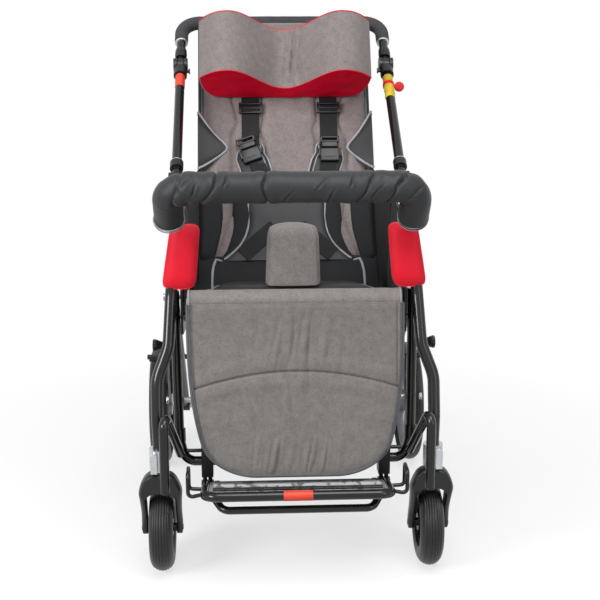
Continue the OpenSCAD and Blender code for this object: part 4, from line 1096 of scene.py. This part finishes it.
# Armrest foam, which takes up the part FOAM_ENDS of a tube that runs over ARMREST_Y
ARMREST_Y, FOAM_ENDS = (90, 266), (118, 238)
for name, side in SIDES:
    start = at(side * ARMREST_X, ARMREST_Y[0], ARMREST_Z)
    finish = at(side * HANDLE_X, ARMREST_Y[1], HANDLE_PIVOT[1])
    ends = [start.lerp(finish, (y - ARMREST_Y[0]) / (ARMREST_Y[1] - ARMREST_Y[0])) for y in FOAM_ENDS]
    line = evenly(ends, 48)

    def foam_radius(share, turn, point, away):
        end = min(share, 1 - share) * 120
        return 21 - 4.5 * max(0, (6 - end) / 6) ** 2 + 0.25 * noise.noise(point * 90)

    foam = sleeve(line, Vector((1, 0, 0)), foam_radius, 48)
    done(foam, "armrest_foam_" + name, "chassis", FOAM, ["armrest_pads"], angle=60)


# Grip bar, its tilt eyes, clamp sleeves and foam
GRIP_LENGTH = 159


def grip_rod(side, start, finish, radius, bevel=0.0):
    return rod(along_grip(start, side * HANDLE_X), along_grip(finish, side * HANDLE_X), radius, bevel)


grip_normal = (along_grip(1, 0) - along_grip(0, 0)).cross(Vector((1, 0, 0))).normalized()
grip_route = rounded(mirrored([along_grip(24, HANDLE_X), along_grip(GRIP_LENGTH, HANDLE_X)]), 0.045, 12)
done(tube(grip_route, 0.011, sides=32), "grip_tube", "handle_bar", GLOSS, ["grip_bar"])
for name, side in SIDES:
    hub = along_handle(TILT_PIN, side * HANDLE_X)
    eye = turned([(-8, 4.05), (8, 4.05), (8, 13.5), (7, 15), (-7, 15), (-8, 13.5)], hub)
    neck, clamp = grip_rod(side, 13, 26, 0.008), grip_rod(side, 24, 52, 0.014, 0.0015)
    lip, ring = grip_rod(side, 50, 56, 0.0126, 0.001), grip_rod(side, 36, 40, 0.0145, 0.0006)
    done(joined([eye, neck, clamp, lip]), "grip_clamp_" + name, "handle_bar", MOULDED)
    done(ring, "grip_clamp_band_" + name, "handle_bar", BUCKLE)


def grip_radius(share, turn, point, away):
    end = min(share, 1 - share) * 590
    return 16.5 - 4 * max(0, (5 - end) / 5) ** 2 + 0.3 * noise.noise(point * 70)


foam_route = rounded(mirrored([along_grip(84, HANDLE_X), along_grip(GRIP_LENGTH, HANDLE_X)]), 0.045, 12)
foam = sleeve(evenly(foam_route, 220), grip_normal, grip_radius, 40)
done(foam, "grip_foam_sleeve", "handle_bar", FOAM, ["grip_foam"], angle=60)
for name, side in SIDES:
    done(grip_rod(side, 80, 85, 0.0155, 0.001), "grip_end_ring_" + name, "handle_bar", SILVER)


# Round tubes of the frame
SIDE_TUBE = [(279, -38, 274), (279, -38, 306), (281, -30, 350), (281, -8, 428), (257, 12, 490),
             (251, 48, 590), (238, 66, 735)]
GUARD = [(265, -102, 221), (264, -102, 396), (238, 8, 260)]
for name, side in SIDES:
    pipe("frame_tube_" + name, "chassis", SIDE_TUBE, 12.5, 90, side, ["side_tube_" + name])
    pipe("caster_guard_" + name, "chassis", GUARD, 9.5, 15, side, ["guard_loops"])
    cap = rod(at(side * 265, -102, 219.8), at(side * 265, -102, 224), 0.0098, 0.0015)
    done(cap, "guard_cap_" + name, "chassis", BUCKLE)
pipe("lower_cross_bend", "chassis", both_ways([(240, 20, 292), (229, 20, 239)]), 10, 28,
     replaced=["lower_cross_tube"])
done(rod(at(-228, 20, 262), at(228, 20, 262), 0.004), "tie_rod", "chassis", GLOSS)

# Shaft and two heads of each cross bolt: from, to, radius, broken edge and number of sides
CROSS_BOLT = ((211, 230, 0.0052, 0.0008, 40), (208, 213, 0.0085, 0.001, 6), (262, 267, 0.0075, 0.001, 6))
BOLT_Y, BOLT_Z = 50, 363
for name, side in SIDES:
    parts = [rod(at(side * a, BOLT_Y, BOLT_Z), at(side * b, BOLT_Y, BOLT_Z), *sizes)
             for a, b, *sizes in CROSS_BOLT]
    done(joined(parts), "frame_cross_bolt_" + name, "chassis", STEEL)


# Foot platform
FOOT_HALF, FOOT_FRONT, FOOT_EYE = 186, 125, 163.5
foot_route = mirrored([on_foot(FOOT_HALF, 14, 0), on_foot(FOOT_HALF, FOOT_FRONT, 0)])
done(tube(foot_route, 0.010, 0.026, 32), "foot_front_tube", "foot_platform", GLOSS,
     ["foot_frame"])
pipe("foot_lower_bar", "foot_platform", both_ways([(181, -45, 201), (150, -100, 180)]), 8, 22)
parts = [rod(on_foot(-FOOT_HALF, 22, 0), on_foot(FOOT_HALF, 22, 0), 0.006)]
for name, side in SIDES:
    hinge, arm_low, arm_high = (on_foot(side * FOOT_EYE, reach, 0) for reach in (0, 5, 22))
    parts.append(rod(arm_low, arm_high, 0.005))
    parts.append(turned([(-5.5, 4.05), (5.5, 4.05), (5.5, 7), (4.5, 8), (-4.5, 8), (-5.5, 7)], hinge))
done(joined(parts), "foot_cross_bar", "foot_platform", SATIN)
band = rod(on_foot(-30, FOOT_FRONT, 0), on_foot(28, FOOT_FRONT, 0), 0.01035, 0.0003, 48)
done(band, "foot_red_band", "foot_platform", RED_BAND)
WIRE = [(186, -96, 215.1), (220, -96, 208), (220, -96, 256), (220, -52, 256), (220, -52, 208),
        (186, -52, 205.8)]
for name, side in SIDES:
    pipe("foot_guard_" + name, "foot_platform", WIRE, 4, 9, side, ["foot_guards"])


# Caster forks: a round-shouldered horseshoe with bosses, stem, flange and axle bolts
FORK_HALF, FORK_INNER, FORK_TOP, FORK_ARCH, HUB_Z, STEM_X, STEM_Y = 43, 29.5, 240, 196, 100, 279, -38


def fork_outline(t, half, top, neck, shoulder):
    """The point at share t along half an arch, from the foot of a leg to the middle of the crown."""
    leg = top - shoulder - HUB_Z
    if t < 0.4:
        return half, HUB_Z + leg * t / 0.4
    if t < 0.9:
        turn = (t - 0.4) / 0.5 * math.pi / 2
        return mix(half, neck, 1 - math.cos(turn)), top - shoulder + shoulder * math.sin(turn)
    return neck * (1 - (t - 0.9) / 0.1), top


@skin
def fork_skin(side, outer, s, t):
    share = 1 - abs(2 * t - 1)
    sizes = (FORK_HALF, FORK_TOP, 14, 50) if outer else (FORK_INNER, FORK_ARCH, 10, 18)
    x, z = fork_outline(share, *sizes)
    if outer:
        x += 1.5 * hump(z, 196, 14) - 1.2 * hump(z, 142, 26)
    front = mix(-13, -56, ease((z - HUB_Z) / 112))
    rear = mix(13, -20, ease((z - HUB_Z) / 136))
    grow = (5.5 if outer else -1.5) * abs(2 * s - 1) ** 4
    x = max(0, x - grow * (1 if share < 0.65 else 0.5)) if share < 1 else 0
    z = z - grow * ease((share - 0.5) / 0.4)
    sign = -1 if t < 0.5 else 1
    return at(side * STEM_X + sign * x, mix(front, rear, s), z)


for name, side in SIDES:
    arch = slab(14, 96, fork_skin(side, True), fork_skin(side, False))
    break_edges(arch, 0.0012, 2)
    parts = [arch]
    for end in (-1, 1):
        inner, outer = side * STEM_X + end * FORK_INNER, side * STEM_X + end * (FORK_HALF - 1.2)
        parts.append(rod(at(inner, 0, HUB_Z), at(outer, 0, HUB_Z), 0.0135, 0.003))
    low, high = (at(side * STEM_X, STEM_Y, FORK_TOP + rise) for rise in (-8, 5.7))
    parts.append(rod(low, high, 0.0145, 0.001, end_radius=0.013))
    done(joined(parts), "fork_" + name, "caster_" + name, MOULDED, ["caster_fork_" + name],
         angle=45)
    stem = rod(at(side * STEM_X, STEM_Y, FORK_TOP), at(side * STEM_X, STEM_Y, 268), 0.008, 0.0008)
    bolt = [rod(at(side * STEM_X - 42, 0, HUB_Z), at(side * STEM_X + 42, 0, HUB_Z), 0.006)]
    for end in (-1, 1):
        a, b = side * STEM_X + end * 40, side * STEM_X + end * 43.4
        bolt.append(rod(at(a, 0, HUB_Z), at(b, 0, HUB_Z), 0.0065, 0.0015, 24))
    done(joined([stem] + bolt), "fork_bolts_" + name, "caster_" + name, BUCKLE)


# Tyres with grooves round the tread
def tyre(name, body, centre, ring, wall, cut, grooves, replaced):
    limit = math.acos((cut - ring) / wall)
    profile = []
    for k in range(97):
        turn = limit * (k / 48 - 1)
        radius = wall - 1.5 * max(hump(turn, g, 0.045) for g in grooves)
        profile.append((radius * math.sin(turn), ring + radius * math.cos(turn)))
    return done(turned(profile, centre, 144), name, body, TYRE, [replaced], angle=50)


FRONT_GROOVES = (-0.62, -0.38, -0.13, 0.13, 0.38, 0.62)
REAR_X, REAR_Z = 314, 160
REAR_GROOVES = (-0.8, -0.6, -0.4, -0.2, 0, 0.2, 0.4, 0.6, 0.8)
for name, side in SIDES:
    tyre("front_tyre_ribbed_" + name, "front_wheel_" + name, at(side * STEM_X, 0, HUB_Z), 65, 25, 52.0,
         FRONT_GROOVES, "front_tyre_" + name)
    tyre("rear_tyre_ribbed_" + name, "rear_wheel_" + name, at(side * REAR_X, AXLE_Y, REAR_Z), 126, 24, 125.05,
         REAR_GROOVES, "rear_tyre_" + name)


# Clamp knobs
KNOB_Y, KNOB_Z = 57, 480
KNOB_SIZES = ((268, 6.5), (268.5, 7.4), (274, 8), (282, 11), (287, 12.6), (291, 12.4), (292, 11))
for name, side in SIDES:
    rings = []
    for x, size in KNOB_SIZES:
        ring = []
        for k in range(60):
            turn = 2 * math.pi * k / 60
            radius = size * (1 + 0.045 * math.cos(10 * turn) * ease((x - 270) / 10))
            ring.append(at(side * x, KNOB_Y + radius * math.cos(turn), KNOB_Z + radius * math.sin(turn)))
        rings.append(ring)
    done(lofted(rings), "knob_grip_" + name, "knob_" + name, BUCKLE, ["clamp_knob_" + name])
    stud = rod(at(side * 248, KNOB_Y, KNOB_Z), at(side * 270, KNOB_Y, KNOB_Z), 0.004, 0.0004, 24)
    done(stud, "knob_stud_" + name, "knob_" + name, STEEL)


# Trim on the push handle
def round_handle(name, start, finish, radius, side, material, wave=0.0):
    line = evenly([along_handle(start, side * HANDLE_X), along_handle(finish, side * HANDLE_X)], 60)
    axis = (line[-1] - line[0]).normalized()

    def radius_at(share, turn, point, away):
        end = min(share, 1 - share) * (finish - start)
        return radius - 0.6 * max(0, (1.5 - end) / 1.5) + wave * ripple(share * 9, math.cos(turn), turn / 3)
    return done(sleeve(line, Vector((1, 0, 0)), radius_at, 40), name, "handle_frame", material,
                ["handle_trim"])


round_handle("handle_red_band", 316, 360, 11.7, -1, RED_BAND)
round_handle("ribbon_sleeve", 272, 353, 12.0, 1, YELLOW, wave=1.3)
round_handle("ribbon_tie", 318, 328, 13.6, 1, RED, wave=1.0)
tag_at = along_handle(318, 272.5)
tag = turned([(-1.5, 0.02), (1.5, 0.02), (1.5, 11), (0.9, 12), (-0.9, 12), (-1.5, 11)], Vector((0, 0, 0)), 48)
tag.data.transform(Matrix.Translation(tag_at) @ Matrix.Rotation(math.radians(90), 4, "Z"))
done(tag, "ribbon_tag", "handle_frame", TAG)
for name, side in SIDES:
    ring = rod(along_handle(50, side * HANDLE_X), along_handle(54, side * HANDLE_X), 0.0138, 0.0006)
    done(ring, "collar_ring_" + name, "fold_collars", SILVER)

# Finish of the nodes that stay from the frame
KEPT = {
    GLOSS: ("inner_tubes", "seat_rails", "seat_cross_tubes", "armrest_tubes", "armrest_struts",
            "rear_leg_left", "rear_leg_right", "handle_tubes", "back_frame", "foot_hangers"),
    SATIN: ("side_plates", "recline_brackets", "seat_pan", "pommel_socket", "brake_bar", "footrest_clamps"),
    FOOT_RIBS_GLINT: ("foot_plate",),
    SILVER: ("caster_sockets", "pommel_post", "rear_axle"),
    STEEL: ("frame_bolts",),
    LOCK: ("swivel_lock_left", "swivel_lock_right"),
    MOULDED: ("front_rim_left", "front_rim_right", "tilt_housings", "lock_collars"),
    RIM_GREY: ("rear_rim_left", "rear_rim_right"),
    BUCKLE: ("tilt_button_left", "tilt_button_right"),
}
for material, names in KEPT.items():
    for name in names:
        paint(nodes[name], material)


# Floor, light and camera
def looked_at(owner):
    """1 where the camera sees the surface, directly, mirrored or through glass."""
    ray = node(owner, "LightPath").outputs
    direct = node_of("Math", ray["Is Camera Ray"], ray["Is Glossy Ray"], operation="MAXIMUM").outputs["Value"]
    return node_of("Math", direct, ray["Is Transmission Ray"], operation="MAXIMUM").outputs["Value"]


floor_material, shader, coords = blank_material("pale studio floor")
pale = ramp_of(noise_at(coords, 3.0, 4), (0.3, tone("f6f6f6")), (0.7, tone("fafafa")))
feed(shader, Base_Color=pale, Roughness=0.9, Specular_IOR_Level=0.1)
reach = node_of("VectorMath", coords, operation="LENGTH").outputs["Value"]
near = node(coords, "MapRange", Value=reach, From_Min=0.4, From_Max=1.2, To_Min=0.64, To_Max=1.0)
white = node(coords, "Emission", Color=(1, 1, 1, 1), Strength=1.0)
blended = node_of("MixShader", near.outputs["Result"], shader.outputs["BSDF"], white.outputs["Emission"])
bounce = node(coords, "BsdfDiffuse", Color=tone("8c8c8c"))
final = node_of("MixShader", looked_at(coords), bounce.outputs["BSDF"], blended.outputs["Shader"])
feed(floor_material.node_tree.nodes["Material Output"], Surface=final.outputs["Shader"])
bpy.ops.mesh.primitive_plane_add(size=160)
floor = bpy.context.object
floor.name = "studio_floor"
paint(floor, floor_material)

scene = bpy.context.scene
scene.view_settings.view_transform = "Standard"
world = bpy.data.worlds.new("white studio")
world.use_nodes = True
background = world.node_tree.nodes["Background"]
feed(background, Color=(1, 1, 1, 1), Strength=spread_over(looked_at(background), 0.36, 1.0))
scene.world = world


def softbox(name, place, target, size, power):
    data = bpy.data.lights.new(name, "AREA")
    given(data, shape="RECTANGLE", size=size[0], size_y=size[1], energy=power)
    turn = (Vector(target) - Vector(place)).to_track_quat("-Z", "Y").to_euler()
    light = given(bpy.data.objects.new(name, data), location=place, rotation_euler=turn)
    scene.collection.objects.link(light)


softbox("key_light", (-2.5, -2.3, 1.9), (0, 0, 0.55), (1.3, 1.3), 88)
softbox("fill_light", (2.0, -2.6, 1.5), (0, 0, 0.5), (0.9, 1.8), 14)
softbox("top_light", (0.3, -1.5, 2.9), (0, 0, 0.5), (1.8, 1.8), 62)

camera_data = given(bpy.data.cameras.new("photo camera"), sensor_width=36, lens=73.14)
camera = given(bpy.data.objects.new("photo camera", camera_data), location=at(-106.6, -2354.6, 1220),
               rotation_euler=(math.radians(75), 0, math.radians(-2.8)))
scene.collection.objects.link(camera)
scene.camera = camera
